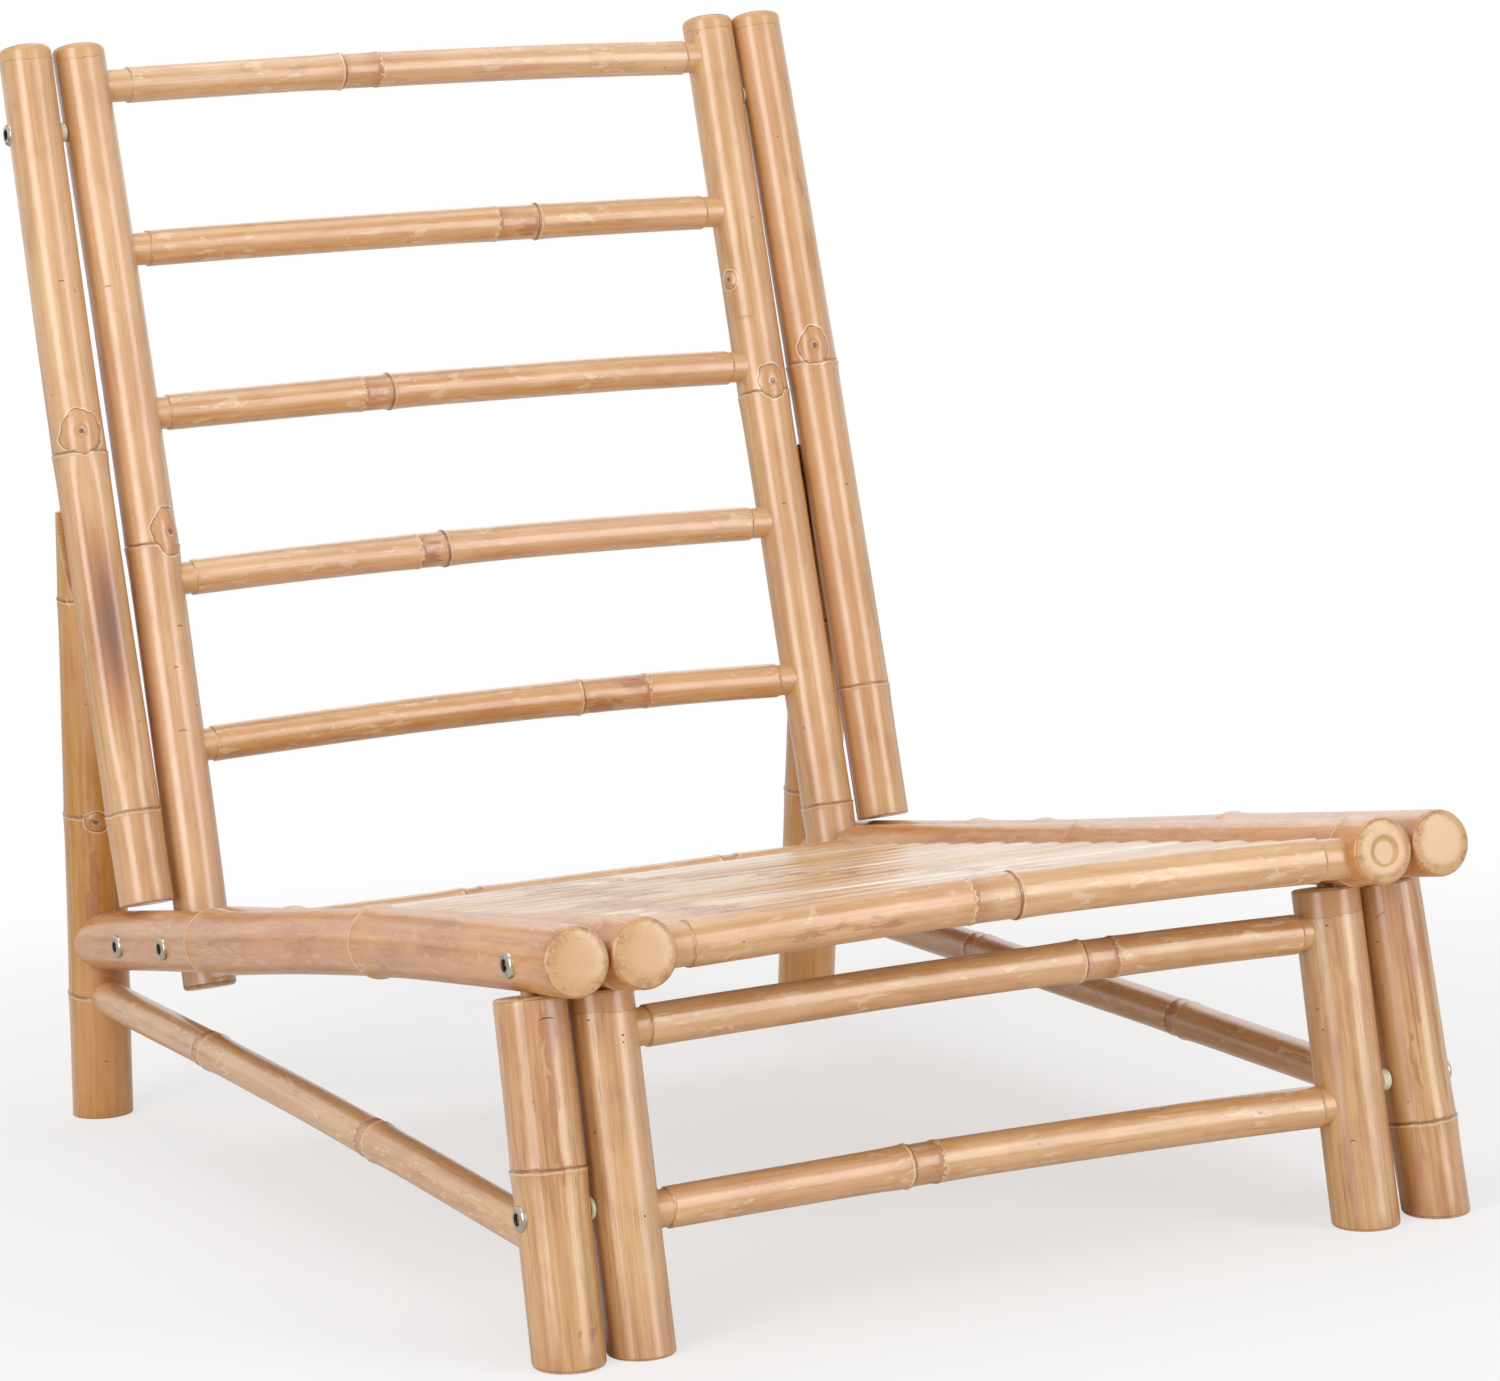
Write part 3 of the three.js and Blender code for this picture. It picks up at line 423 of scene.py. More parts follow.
def metalMaterial(name, look):
    material, add = newMaterial(name)
    place = add("TexCoord").outputs["Object"]
    turned = add("TexNoise", {"Vector": place, "Scale": metalWear["turnedMarks"] / mm, "Detail": 3.0})
    worn = add("TexNoise", {"Vector": place, "Scale": metalWear["wornSpots"] / mm, "Detail": 4.0})
    rough = add("MapRange", [worn, 0.35, 0.65, look["roughness"] + metalWear["roughnessFrom"],
                             look["roughness"] + metalWear["roughnessTo"]])
    tarnished = add("MapRange", [worn, 0.45, 0.7, 0.0, metalWear["tarnishShare"]])
    color = add("Mix", {0: tarnished, 6: linear(look["color"]), 7: linear(metalWear["tarnish"])},
                data_type="RGBA")
    bump = add("Bump", {"Height": turned, "Strength": 0.15, "Distance": metalWear["markDepth"] * mm})
    skin = add("BsdfPrincipled", {"Base Color": color, "Roughness": rough, "Metallic": look["metallic"],
                                  "Normal": bump})
    add("OutputMaterial", {"Surface": skin})
    return material


# Moulded nylon: off-white and a little waxy. Turned beech dowel: pale brown with short flecks. The
# small marks are dark old bark, dull and uneven.
plains = {
    "mouldedNylon": {"pale": "#ece6d3", "deep": "#d9cfb4", "roughness": 0.42, "grain": (3, 3, 3),
                     "subsurface": 0.15},
    "turnedBeech": {"pale": "#d3ab76", "deep": "#b18650", "roughness": 0.6, "grain": (0.8, 0.8, 9),
                    "subsurface": 0.0},
    "budScarBark": {"pale": "#70462a", "deep": "#4d2e1a", "roughness": 0.55, "grain": (0.8, 0.8, 0.8),
                    "subsurface": 0.0},
}
plainDepth = {"relief": 0.1, "subsurface": 3}


def plainMaterial(name, look):
    material, add = newMaterial(name)
    place = add("TexCoord").outputs["Object"]
    scaled = add("VectorMath", [place, [1 / size / mm for size in look["grain"]]], operation="MULTIPLY")
    flecks = add("TexNoise", {"Vector": scaled, "Scale": 1.0, "Detail": 4.0})
    color = add("Mix", {0: flecks, 6: linear(look["pale"]), 7: linear(look["deep"])}, data_type="RGBA")
    bump = add("Bump", {"Height": flecks, "Strength": 0.3, "Distance": plainDepth["relief"] * mm})
    skin = add("BsdfPrincipled",
               {"Base Color": color, "Roughness": look["roughness"], "Normal": bump,
                "Subsurface Weight": look["subsurface"],
                "Subsurface Scale": plainDepth["subsurface"] * mm})
    add("OutputMaterial", {"Surface": skin})
    return material


smallMaterials = {name: metalMaterial(name, look) for name, look in metals.items()}
smallMaterials.update({name: plainMaterial(name, look) for name, look in plains.items()})
print("small materials made:", len(smallMaterials))

# The chair's driving lines, the same as the CAD model's
chair = {
    "panelGauge": 503,
    "backTilt": 13.75,
    "seatTilt": 7.7,
    "frontLegLean": 9.55,
    "rearLegLean": {"left": 5.7, "right": 8.2},
    "railFrontHeight": 240,
    "railOverhang": 31,
    "backSetback": 697,
    "stileRise": 643,
    "stileTail": 37,
    "rearLegTop": 440,
    "frontFootSplay": {"left": 2, "right": 8},
    "rearFootInset": {"left": 0, "right": 5},
    "poleFootSpread": {"left": -2, "right": 4.5},
    "backPoleBow": {"left": 2, "right": 1.5},
    "stileBow": {"left": 3, "right": 0},
    "outerRailBow": {"left": 8, "right": -2},
    "fitGap": 0.3,
    "backGap": {"left": 3.2, "right": 1},
    "railGap": 1.2,
    "legGap": {"left": 2.4, "right": 0.4},
    "seatBackGap": 16.8,
    "legLadderShift": -1.5,
    "poleStep": 4,
}
radii = {
    "stile": 18.9,
    "poleFoot": 19.4,
    "poleTip": 18.9,
    "rail": 21,
    "rearLeg": 21.8,
    "frontLeg": 21.5,
    "innerLeg": {"left": 20.4, "right": 21.5},
    "rung": 12.8,
    "legStretcher": 12.5,
    "sideStretcher": 12.6,
    "frontBar": 14,
    "rearBar": 12.5,
}
handSigns = {"left": -1, "right": 1}


def point(x, y, z):
    return np.array((x, y, z), float)


def unit(vector):
    return vector / np.linalg.norm(vector)


def leaning(angle):
    return point(0, math.sin(math.radians(angle)), math.cos(math.radians(angle)))


offSeat = leaning(chair["seatTilt"])
alongSeat = point(0, offSeat[2], -offSeat[1])
upBack = leaning(chair["backTilt"])
behindBack = point(0, upBack[2], -upBack[1])
upFrontLeg = leaning(chair["frontLegLean"])

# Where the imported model's middle and front feet lie, read off the frame
middle = (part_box("inner_seat_rail_left")[0][0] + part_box("inner_seat_rail_right")[1][0]) / 2 / mm
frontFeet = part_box("outer_front_leg_left")[0][1] / mm + radii["frontLeg"] / upFrontLeg[2]
print("middle", round(middle, 3), "front feet", round(frontFeet, 3))

innerPlane = chair["panelGauge"] / 2
railPlane = innerPlane + radii["rail"] + chair["railGap"] + radii["rail"]
frontFoot = point(0, frontFeet, 0)
railFront = point(0, frontFeet - chair["railOverhang"], chair["railFrontHeight"])
railCrossing = (chair["backSetback"] + chair["railOverhang"]) / alongSeat[1]
backCrossing = railFront + alongSeat * railCrossing
poleCrossing = backCrossing - behindBack * chair["poleStep"]
poleLean = math.radians(chair["backTilt"] - chair["seatTilt"])
stileReach = (radii["stile"] + radii["rail"] * math.sin(poleLean)) / math.cos(poleLean)
innerRailLength = railCrossing - stileReach - chair["seatBackGap"]


def onRailLine(foot, upLeg):
    return foot - upLeg * ((foot - railFront) @ offSeat) / (upLeg @ offSeat)


legTopOnRail = onRailLine(frontFoot, upFrontLeg)


def bowLift(bow, share):
    return 4 * bow * share * (1 - share)


def atHeight(foot, upLine, height):
    return foot + upLine * height / upLine[2]


def atSide(place, hand, plane):
    return point(middle + handSigns[hand] * plane, place[1], place[2])


def poleTopPlane(hand):
    return innerPlane + radii["stile"] + chair["backGap"][hand] + radii["poleTip"]


def legTopPlane(hand):
    return innerPlane + 2 * radii["frontLeg"] + chair["legGap"][hand]


def innerLegPlane(hand):
    return innerPlane + handSigns[hand] * chair["legLadderShift"]


def sideFrameLines(hand):
    upRearLeg = leaning(-chair["rearLegLean"][hand])
    scarfTop = poleCrossing + upBack * (chair["rearLegTop"] - poleCrossing[2]) / upBack[2]
    rearFoot = scarfTop - upRearLeg * chair["rearLegTop"] / upRearLeg[2]
    railEnd = onRailLine(rearFoot, upRearLeg)
    return upRearLeg, rearFoot, railEnd, np.linalg.norm(railEnd - railFront), chair["outerRailBow"][hand]


def frontLegTop(railBow, railLength):
    share = np.linalg.norm(legTopOnRail - railFront) / railLength
    tilt = math.radians(chair["frontLegLean"] - chair["seatTilt"])
    tilt += 4 * railBow * (1 - 2 * share) / railLength
    drop = (radii["rail"] + chair["fitGap"]) / math.cos(tilt) + radii["frontLeg"] * abs(math.tan(tilt))
    return legTopOnRail + upFrontLeg * (bowLift(railBow, share) - drop)


legTop = frontLegTop(0, innerRailLength)


def atLegPlane(place, hand):
    splay = chair["frontFootSplay"][hand] * (1 - place[2] / legTop[2])
    return atSide(place, hand, legTopPlane(hand) + splay)


def atRearPlane(place, hand):
    inset = chair["rearFootInset"][hand] * (1 - place[2] / chair["rearLegTop"])
    return atSide(place, hand, railPlane - inset)


# Culms. Each is a tube of rings along a slightly bent axis, closed by a cap at each end. A cut says
# how far along the axis the end lies for every offset from the axis, so one function makes square
# ends, level feet, saddles and scarfs. Turn 0 of a culm faces the way that its builder names.
culmBasics = {
    "sides": 64,
    "step": 10,  # between plain rows of points
    "ringSteps": (0, 0.25, 0.5, 0.9, 1.4, 2.1, 3, 4.4, 6.5, 9),  # rows either side of a ring or band edge
    "barkSteps": (-2.5, -1.6, -1, -0.5, 0, 0.5, 1, 1.6, 2.5),  # rows at the edge of the bark
    "scarRows": 0.72,  # rows reach this share of a scar's height each way
    "leastStep": 0.2,
    "lastStep": 0.3,
    "flatZone": 2,  # rows are squeezed this far from a square-cut end
    "slopedZone": 14,  # and this far from a saddle or scarf
    "slopedFrom": 8,  # an end that differs by this much round the culm is sloped
    "slopedStep": 3,
    "scarfFrom": 40,
    "scarfStep": 2.2,
    "oval": 0.12,
    "wander": 0.16,
    "ringTilt": 0.8,  # a node ring leans this much along the culm
    "ringWave": 0.25,
    "dipSpread": 0.55,  # radians
    "rowPull": 13,  # rows follow a ring's wave about this far from it
    "pullFade": (0.6, 1.6),
    "swell": 0.9,  # how far a node stands proud on the side before its ring
    "swellReach": 11,
    "after": 0.45,  # and on the side after it
    "afterReach": 9,
    "lip": 0.3,  # sharp edge of the sheath scar
    "groove": 0.45,
    "bandHollow": 0.5,  # between a ring and the far edge of its band
    "bandLip": 0.2,
    "nearFade": (14, 24),  # ring marks fade out this far from a node
    "scarFade": (1.2, 1.5),  # radians from a scar at which it no longer counts
    "scarShoulder": (0.3, 1.3),
    "scarRaise": 1.3,
    "scarGroove": 0.4,
    "scarPit": 1.1,
    "pitWidth": 1.9,
    "fluteFade": (45, 30),
    "bareWaves": (0.5, 0.4),
    "edge": 0.9,  # rounding of a square-cut end
    "crown": 6,  # height lost at the rim of a sanded, domed end
    "domeInset": 1.1,
    "barkShare": 0.95,  # how far out on a domed end the bark begins
    "tenonStep": 1.2,
    "far": 40,  # what an attribute says where no ring or scar is near
    "inBark": -30,  # and where no edge of the bark is near
    "noBand": 60,  # keeps the band's edge away from a plain ring
    "grainShift": (60, 300),  # across and along, so that no two culms have the same grain
}


def flatCut(place):
    return lambda a, b: np.full_like(a, place)


def planeCut(culm, onPlane, normal):
    slope = culm["axis"] @ normal
    return lambda a, b: ((onPlane - culm["start"]) @ normal
                         - a * (culm["front"] @ normal) - b * (culm["side"] @ normal)) / slope


def floorCut(culm):
    return planeCut(culm, point(0, 0, 0), point(0, 0, 1))


# A scarf ends at whichever of its faces comes first.
def scarfCut(roundCut, planarCut, limit):
    return lambda a, b: np.minimum(np.minimum(roundCut(a, b), planarCut(a, b)), limit)


# The hollow that lets an end saddle a round host. Its thin horns are trimmed back.
def saddleCut(culm, host, hostRadius, atStart, hornTrim):
    hostAxis = host["axis"]
    limit = hornTrim if atStart else culm["length"] - hornTrim

    def cut(a, b):
        base = culm["start"] + a[..., None] * culm["front"] + b[..., None] * culm["side"] - host["start"]
        run = culm["axis"] - hostAxis * (culm["axis"] @ hostAxis)
        off = base - (base @ hostAxis)[..., None] * hostAxis
        square = run @ run
        half = off @ run
        inside = half**2 - square * ((off * off).sum(-1) - hostRadius**2)
        root = np.sqrt(np.maximum(inside, 0))
        hit = (-half + root) / square if atStart else (-half - root) / square
        hit = np.where(inside < 0, limit, hit)
        return np.maximum(hit, limit) if atStart else np.minimum(hit, limit)

    return cut


def bell(value, width):
    return np.exp(-(value / width) ** 2)


def smooth(value, low, high):
    share = np.clip((value - low) / (high - low), 0, 1)
    return share * share * (3 - 2 * share)


def turnGap(turn, centre):
    return (turn - centre + math.pi) % (2 * math.pi) - math.pi


# How far a node's ring lies along from its mean place at each turn. It dips round a bud scar.
def ringDrift(culm, node, turn):
    drift = culm["ringTilt"] * np.cos(turn - node["at"] / 31)
    drift = drift + culm["ringWave"] * np.sin(3 * turn + node["at"] / 7)
    if "dip" in node:
        gap = turnGap(turn, math.radians(node["dipTurn"]))
        drift = drift - node["dip"] * bell(gap, culm["dipSpread"])
    return drift


# Signed distances from a node's ring and from the far edge of its band. A band runs towards the end
# of the culm, or towards its start when its width is below zero.
def nodeGaps(culm, node, place, turn):
    gap = place - node["at"] - ringDrift(culm, node, turn)
    width = node.get("band", 0)
    toward = -1 if width < 0 else 1
    return gap * toward, (gap - width) * toward, width


# The same distances from the nearest node, and how near it is, from 0 to 1
def ringGaps(culm, place, turn):
    far = culm["far"]
    ring, band = np.full_like(place, -far), np.full_like(place, -far)
    nearest = np.full_like(place, far)
    for node in culm["nodes"]:
        ringGap, bandGap, width = nodeGaps(culm, node, place, turn)
        away = np.maximum(np.maximum(-ringGap, bandGap), 0)
        closer = away < nearest
        ring = np.where(closer, ringGap, ring)
        band = np.where(closer, bandGap if width else ringGap + culm["noBand"], band)
        nearest = np.where(closer, away, nearest)
    return ring, band, 1 - smooth(nearest, *culm["nearFade"])


# How far a place lies from a bud scar, across and along, as shares of its half width and half height.
# The other side of the culm counts as further along.
def scarOffsets(culm, scar, place, turn, behind):
    gap = turnGap(turn, math.radians(scar["turn"]))
    across = np.sin(gap) * culm["radius"] / (scar["wide"] / 2)
    along = (place - scar["at"]) / (scar["tall"] / 2) + behind * smooth(np.abs(gap), *culm["scarFade"])
    return across, along, min(scar["wide"], scar["tall"]) / 2


def scarPlaces(culm, place, turn):
    far = culm["far"]
    best = np.stack([np.full_like(place, far), np.full_like(place, far), np.ones_like(place)], axis=-1)
    nearest = np.full_like(place, np.inf)
    for scar in culm["scars"]:
        across, along, size = scarOffsets(culm, scar, place, turn, far)
        away = np.hypot(across, along)
        closer = away < nearest
        here = np.stack([across, along, np.full_like(place, size)], axis=-1)
        best = np.where(closer[..., None], here, best)
        nearest = np.where(closer, away, nearest)
    return best


def bareGaps(culm, place, turn):
    threefold, twofold = culm["bareWaves"]
    wave = threefold * np.cos(3 * turn + culm["seed"]) + twofold * np.cos(2 * turn + 2 * culm["seed"])
    gap = np.full_like(place, float(culm["inBark"]))
    if culm["bareStart"]:
        gap = np.maximum(gap, culm["bareStart"] + wave - place)
    if culm["bareEnd"]:
        gap = np.maximum(gap, place + wave - (culm["length"] - culm["bareEnd"]))
    return gap


def stainDepth(culm, stainList, place, turn):
    total = np.zeros_like(place)
    for stain in stainList:
        across = turnGap(turn, math.radians(stain["turn"])) * culm["radius"] / stain["wide"]
        total = total + stain["depth"] * np.exp(-across**2 - ((place - stain["at"]) / stain["tall"]) ** 2)
    return np.minimum(total, 1)


def wallRadius(culm, place, turn):
    share = place / culm["length"]
    radius = culm["radius"] + (culm["tipRadius"] - culm["radius"]) * share
    seed = culm["seed"]
    radius = radius + culm["oval"] * np.cos(2 * turn + seed)
    radius = radius + culm["wander"] * np.cos(turn + place / 47 + seed) * np.cos(place / 83 + 2 * seed)
    outsideScars = 1.0
    for scar in culm["scars"]:
        across, along, size = scarOffsets(culm, scar, place, turn, 10)
        away = np.hypot(across, along)
        raised = 1 - smooth(away, *culm["scarShoulder"])
        radius = radius + scar.get("raise", culm["scarRaise"]) * raised
        radius = (radius - culm["scarGroove"] * bell((away - 1) * size, 0.7)
                  - culm["scarPit"] * bell(away * size, culm["pitWidth"]))
        outsideScars = outsideScars * smooth(away, 0.9, 1.1)
    for node in culm["nodes"]:
        ringGap, bandGap, width = nodeGaps(culm, node, place, turn)
        swell = node.get("swell", culm["swell"])
        before = np.where(ringGap < 0, np.exp(np.minimum(ringGap, 0) / culm["swellReach"]), 0)
        after = np.where(bandGap > 0, np.exp(-np.maximum(bandGap, 0) / culm["afterReach"]), 0)
        afterHeight = swell * culm["after"]
        inside = np.where((ringGap >= 0) & (bandGap <= 0), 1.0, 0)
        hollow = -culm["bandHollow"] * smooth(ringGap, 0, 4) * smooth(-bandGap, 0, 3) * inside
        radius = radius + swell * before + afterHeight * after + inside * afterHeight + hollow
        radius = radius + outsideScars * culm["lip"] * bell(ringGap + 1.1, 0.9)
        radius = radius - outsideScars * culm["groove"] * bell(ringGap - 0.2, 0.6)
        if width:
            radius = radius + culm["bandLip"] * bell(bandGap - 0.6, 0.8)
    rise, fall = culm["fluteFade"]
    for flute in culm["flutes"]:
        within = smooth(place, flute["from"], flute["from"] + rise)
        within = within * smooth(-place, -flute["to"], fall - flute["to"])
        gap = turnGap(turn, math.radians(flute["turn"]))
        radius = radius - flute["depth"] * within * bell(gap, flute["wide"])
    step = smooth(bareGaps(culm, place, turn), -0.5, 0.7)
    return radius - culm["tenonStep"] * step * culm["shaved"]


# Rows of points stand close at rings, at bud scars and at the edges of the bark.
def ringPlaces(culm):
    places = list(np.arange(0, culm["length"], culm["step"]))
    for node in culm["nodes"]:
        for edge in (node["at"], node["at"] + node.get("band", 0)):
            places += [edge + sign * gap for gap in culm["ringSteps"] for sign in (-1, 1)]
    for scar in culm["scars"]:
        fine = np.linspace(-culm["scarRows"], culm["scarRows"], max(9, int(scar["tall"] * 1.1)))
        places += list(scar["at"] + fine * scar["tall"])
    for edge in (culm["bareStart"], culm["bareEnd"] and culm["length"] - culm["bareEnd"]):
        if edge:
            places += [edge + gap for gap in culm["barkSteps"]]
    return places


# Sets a culm's frame and its defaults. Turn 0 faces the given way.
def layCulm(start, end, facing, details):
    culm = dict(culmBasics, nodes=[], scars=[], stains=[], warms=[], flutes=[], crook=[],
                bareStart=0, bareEnd=0, shaved=0, bow=point(0, 0, 0), seed=0.0,
                tipRadius=details["radius"], shade=0.0)
    culm.update(details)
    culm["start"] = start
    culm["length"] = float(np.linalg.norm(end - start))
    culm["axis"] = unit(end - start)
    culm["front"] = unit(facing - culm["axis"] * (facing @ culm["axis"]))
    culm["side"] = np.cross(culm["axis"], culm["front"])
    culm["startCut"] = flatCut(culm["domeInset"] if culm.get("domedStart") else 0.0)
    culm["endCut"] = flatCut(culm["length"] - (culm["domeInset"] if culm.get("domedEnd") else 0.0))
    return culm


def farEnd(culm):
    return culm["start"] + culm["axis"] * culm["length"]


def culmPoints(culm, a, b, place):
    share = np.clip(place / culm["length"], 0, 1)
    bend = 4 * share * (1 - share)
    points = (culm["start"] + place[..., None] * culm["axis"] + a[..., None] * culm["front"]
              + b[..., None] * culm["side"] + bend[..., None] * culm["bow"])
    if culm["crook"]:
        shares = [joint[0] for joint in culm["crook"]]
        for i in range(3):
            points[..., i] += np.interp(share, shares, [joint[1][i] for joint in culm["crook"]])
    return points


# One end's cap: shares of the wall's radius, how far the surface drops there, and whether it is cut
def capProfile(culm, domed, recess):
    if domed:
        shares = (0.998, 0.99, 0.975, 0.955, 0.93, 0.89, 0.83, 0.74, 0.62, 0.48, 0.36, 0.22, 0.1)
        profile = [(share, culm["crown"] * (1 - (1 - share**6) ** 0.36)) for share in shares]
    else:
        edge = culm["edge"] / culm["radius"]
        rounds = [(1 - edge * (1 - math.cos(angle)), culm["edge"] * (1 - math.sin(angle)))
                  for angle in (0.4, 0.8, 1.2, math.pi / 2)]
        profile = rounds + [(share, 0.0) for share in (0.8, 0.62, 0.44, 0.28, 0.14)]
    if recess:
        inner = recess["radius"] / culm["radius"]
        outer = [pair for pair in profile if pair[0] > inner * 1.35]
        lip = [(inner * 1.25, 0.1), (inner * 1.12, -recess["lip"]), (inner, -recess["lip"] * 0.6)]
        bowl = [(inner * share, recess["depth"] * depth)
                for share, depth in ((0.93, 0.6), (0.84, 1), (0.6, 1.05), (0.3, 1), (0.1, 1))]
        profile = outer + lip + bowl
    return [(share, drop, float(share < culm["barkShare"]) if domed else 1.0) for share, drop in profile]


# Rows of points at their turns. Rows near a node follow its ring, and rows near an end are squeezed, so
# that the last one lies on the cut.
def culmGrid(culm, turn, startWall, endWall):
    flat, sloped = culm["flatZone"], culm["slopedZone"]
    startZone = startWall.max() + (flat if np.ptp(startWall) < 1 else sloped)
    endZone = endWall.min() - (flat if np.ptp(endWall) < 1 else sloped)
    startFirst, endLast = startWall.min(), endWall.max()
    places = [place for place in ringPlaces(culm) if startFirst < place < endLast]
    if np.ptp(startWall) > culm["slopedFrom"]:
        places += list(np.arange(startFirst, startZone, culm["slopedStep"]))
    if np.ptp(endWall) > culm["slopedFrom"]:
        step = culm["slopedStep"] if np.ptp(endWall) <= culm["scarfFrom"] else culm["scarfStep"]
        places += list(np.arange(endZone, endLast, step))
    kept = [startFirst]
    for place in sorted(places):
        if place - kept[-1] > culm["leastStep"]:
            kept.append(place)
    if endLast - kept[-1] < culm["lastStep"]:
        kept.pop()
    kept.append(endLast)

    turns = np.repeat(turn[None, :], len(kept), axis=0)
    grid = np.repeat(np.array(kept)[:, None], len(turn), axis=1)
    for node in culm["nodes"]:
        middleOfNode = node["at"] + node.get("band", 0) / 2
        pull = culm["rowPull"] + abs(node.get("band", 0)) / 2
        fade = (pull * share for share in culm["pullFade"])
        grid = grid + ringDrift(culm, node, turns) * (1 - smooth(np.abs(grid - middleOfNode), *fade))
    share = np.clip((grid - startFirst) / (startZone - startFirst), 0, 1)
    grid = np.where(grid < startZone, startWall + share * (startZone - startWall), grid)
    share = np.clip((grid - endZone) / (endLast - endZone), 0, 1)
    grid = np.where(grid > endZone, endZone + share * (endWall - endZone), grid)
    grid[0], grid[-1] = startWall, endWall
    return grid, turns


def buildCulm(name, culm, materialName):
    sides = culm["sides"]
    firstTurn = math.radians(culm["scars"][0]["turn"]) if culm["scars"] else 0
    turn = firstTurn + np.linspace(0, 2 * math.pi, sides, endpoint=False)
    cosTurn, sinTurn = np.cos(turn), np.sin(turn)

    def cutAt(cut, guess):
        place = np.full(sides, guess)
        for repeat in range(3):
            reach = wallRadius(culm, place, turn)
            place = cut(reach * cosTurn, reach * sinTurn)
        return place

    startDrop, endDrop = (culm["crown" if culm.get(key) else "edge"] for key in ("domedStart", "domedEnd"))
    grid, turns = culmGrid(culm, turn, cutAt(culm["startCut"], 0.0) + startDrop,
                           cutAt(culm["endCut"], culm["length"]) - endDrop)
    reach = wallRadius(culm, grid, turns)
    wallRows = (reach * np.cos(turns), reach * np.sin(turns), grid, np.zeros_like(grid), np.ones_like(grid))

    def capRows(cut, wall, domed, recess, inwards):
        rows = []
        for shareOut, drop, isCut in capProfile(culm, domed, recess):
            capA, capB = wall * shareOut * cosTurn, wall * shareOut * sinTurn
            place = cut(capA, capB) + drop * inwards
            rows.append((capA, capB, place, np.full(sides, isCut), np.full(sides, shareOut)))
        return [np.array(column)[::-inwards] for column in zip(*rows)]

    recess = culm.get("recess")
    startRows = capRows(culm["startCut"], wallRadius(culm, grid[0], turn), culm.get("domedStart"), recess, 1)
    endRows = capRows(culm["endCut"], wallRadius(culm, grid[-1], turn), culm.get("domedEnd"), None, -1)
    a, b, place, endGrain, endShare = (np.concatenate(columns)
                                       for columns in zip(startRows, wallRows, endRows))
    count = len(place)
    turns = np.repeat(turn[None, :], count, axis=0)

    # The middle of each cap is one more point.
    zero = np.zeros(1)
    startMiddle = culm["startCut"](zero, zero) + (recess["depth"] if recess else 0)
    place = np.concatenate([place.reshape(-1), startMiddle, culm["endCut"](zero, zero)])
    a, b, turns = (np.append(values.reshape(-1), (0, 0)) for values in (a, b, turns))
    endGrain, endShare = np.append(endGrain.reshape(-1), (1, 1)), np.append(endShare.reshape(-1), (0, 0))

    faces = []
    for row in range(count - 1):
        low, high = row * sides, (row + 1) * sides
        faces += [(low + i, low + (i + 1) % sides, high + (i + 1) % sides, high + i) for i in range(sides)]
    first, last = count * sides, count * sides + 1
    top = (count - 1) * sides
    faces += [(first, (i + 1) % sides, i) for i in range(sides)]
    faces += [(last, top + i, top + (i + 1) % sides) for i in range(sides)]

    ring, band, near = ringGaps(culm, place, turns)
    acrossShift, alongShift = (shift * culm["seed"] for shift in culm["grainShift"])
    attributes = {
        "grain": np.stack([a + acrossShift, b, place + alongShift], axis=1),
        "ring": ring,
        "band": band,
        "near": near,
        "scar": scarPlaces(culm, place, turns),
        "bare": bareGaps(culm, place, turns),
        "stain": stainDepth(culm, culm["stains"], place, turns),
        "warm": stainDepth(culm, culm["warms"], place, turns),
        "shade": np.full_like(place, culm["shade"]),
        "endGrain": endGrain,
        "endShare": endShare,
    }
    points = culmPoints(culm, a, b, place) * mm
    return addPiece(name + "_look", points, faces, attributes, [bambooMaterials[materialName]], [name])


def addPiece(name, points, faces, attributes, materials, replaced):
    mesh = bpy.data.meshes.new(name)
    mesh.from_pydata([tuple(p) for p in points], [], faces)
    mesh.update()
    for attributeName, values in attributes.items():
        kind = "FLOAT_VECTOR" if values.ndim == 2 else "FLOAT"
        attribute = mesh.attributes.new(attributeName, kind, "POINT")
        key = "vector" if values.ndim == 2 else "value"
        attribute.data.foreach_set(key, values.astype(np.float32).ravel())
    mesh.shade_smooth()
    for material in materials:
        mesh.materials.append(material)
    piece = bpy.data.objects.new(name, mesh)
    scene.collection.objects.link(piece)
    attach(piece, "root")
    if replaced:
        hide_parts(*replaced)
    return piece


# Nodes at shares of a culm's length
def placed(shares, length, **details):
    return [dict(details, at=share * length) for share in shares]


# Small dark marks on the bark: crescents where a scale leaf grew, pinholes and scratches
markShapes = {
    "crescent": {"sag": 1.1, "thick": 0.34, "points": 9},
    "scratch": {"sag": 0.4, "thick": 0.22, "points": 9},
    "pinhole": {"sag": 0.0, "thick": 0.55, "points": 4},
}


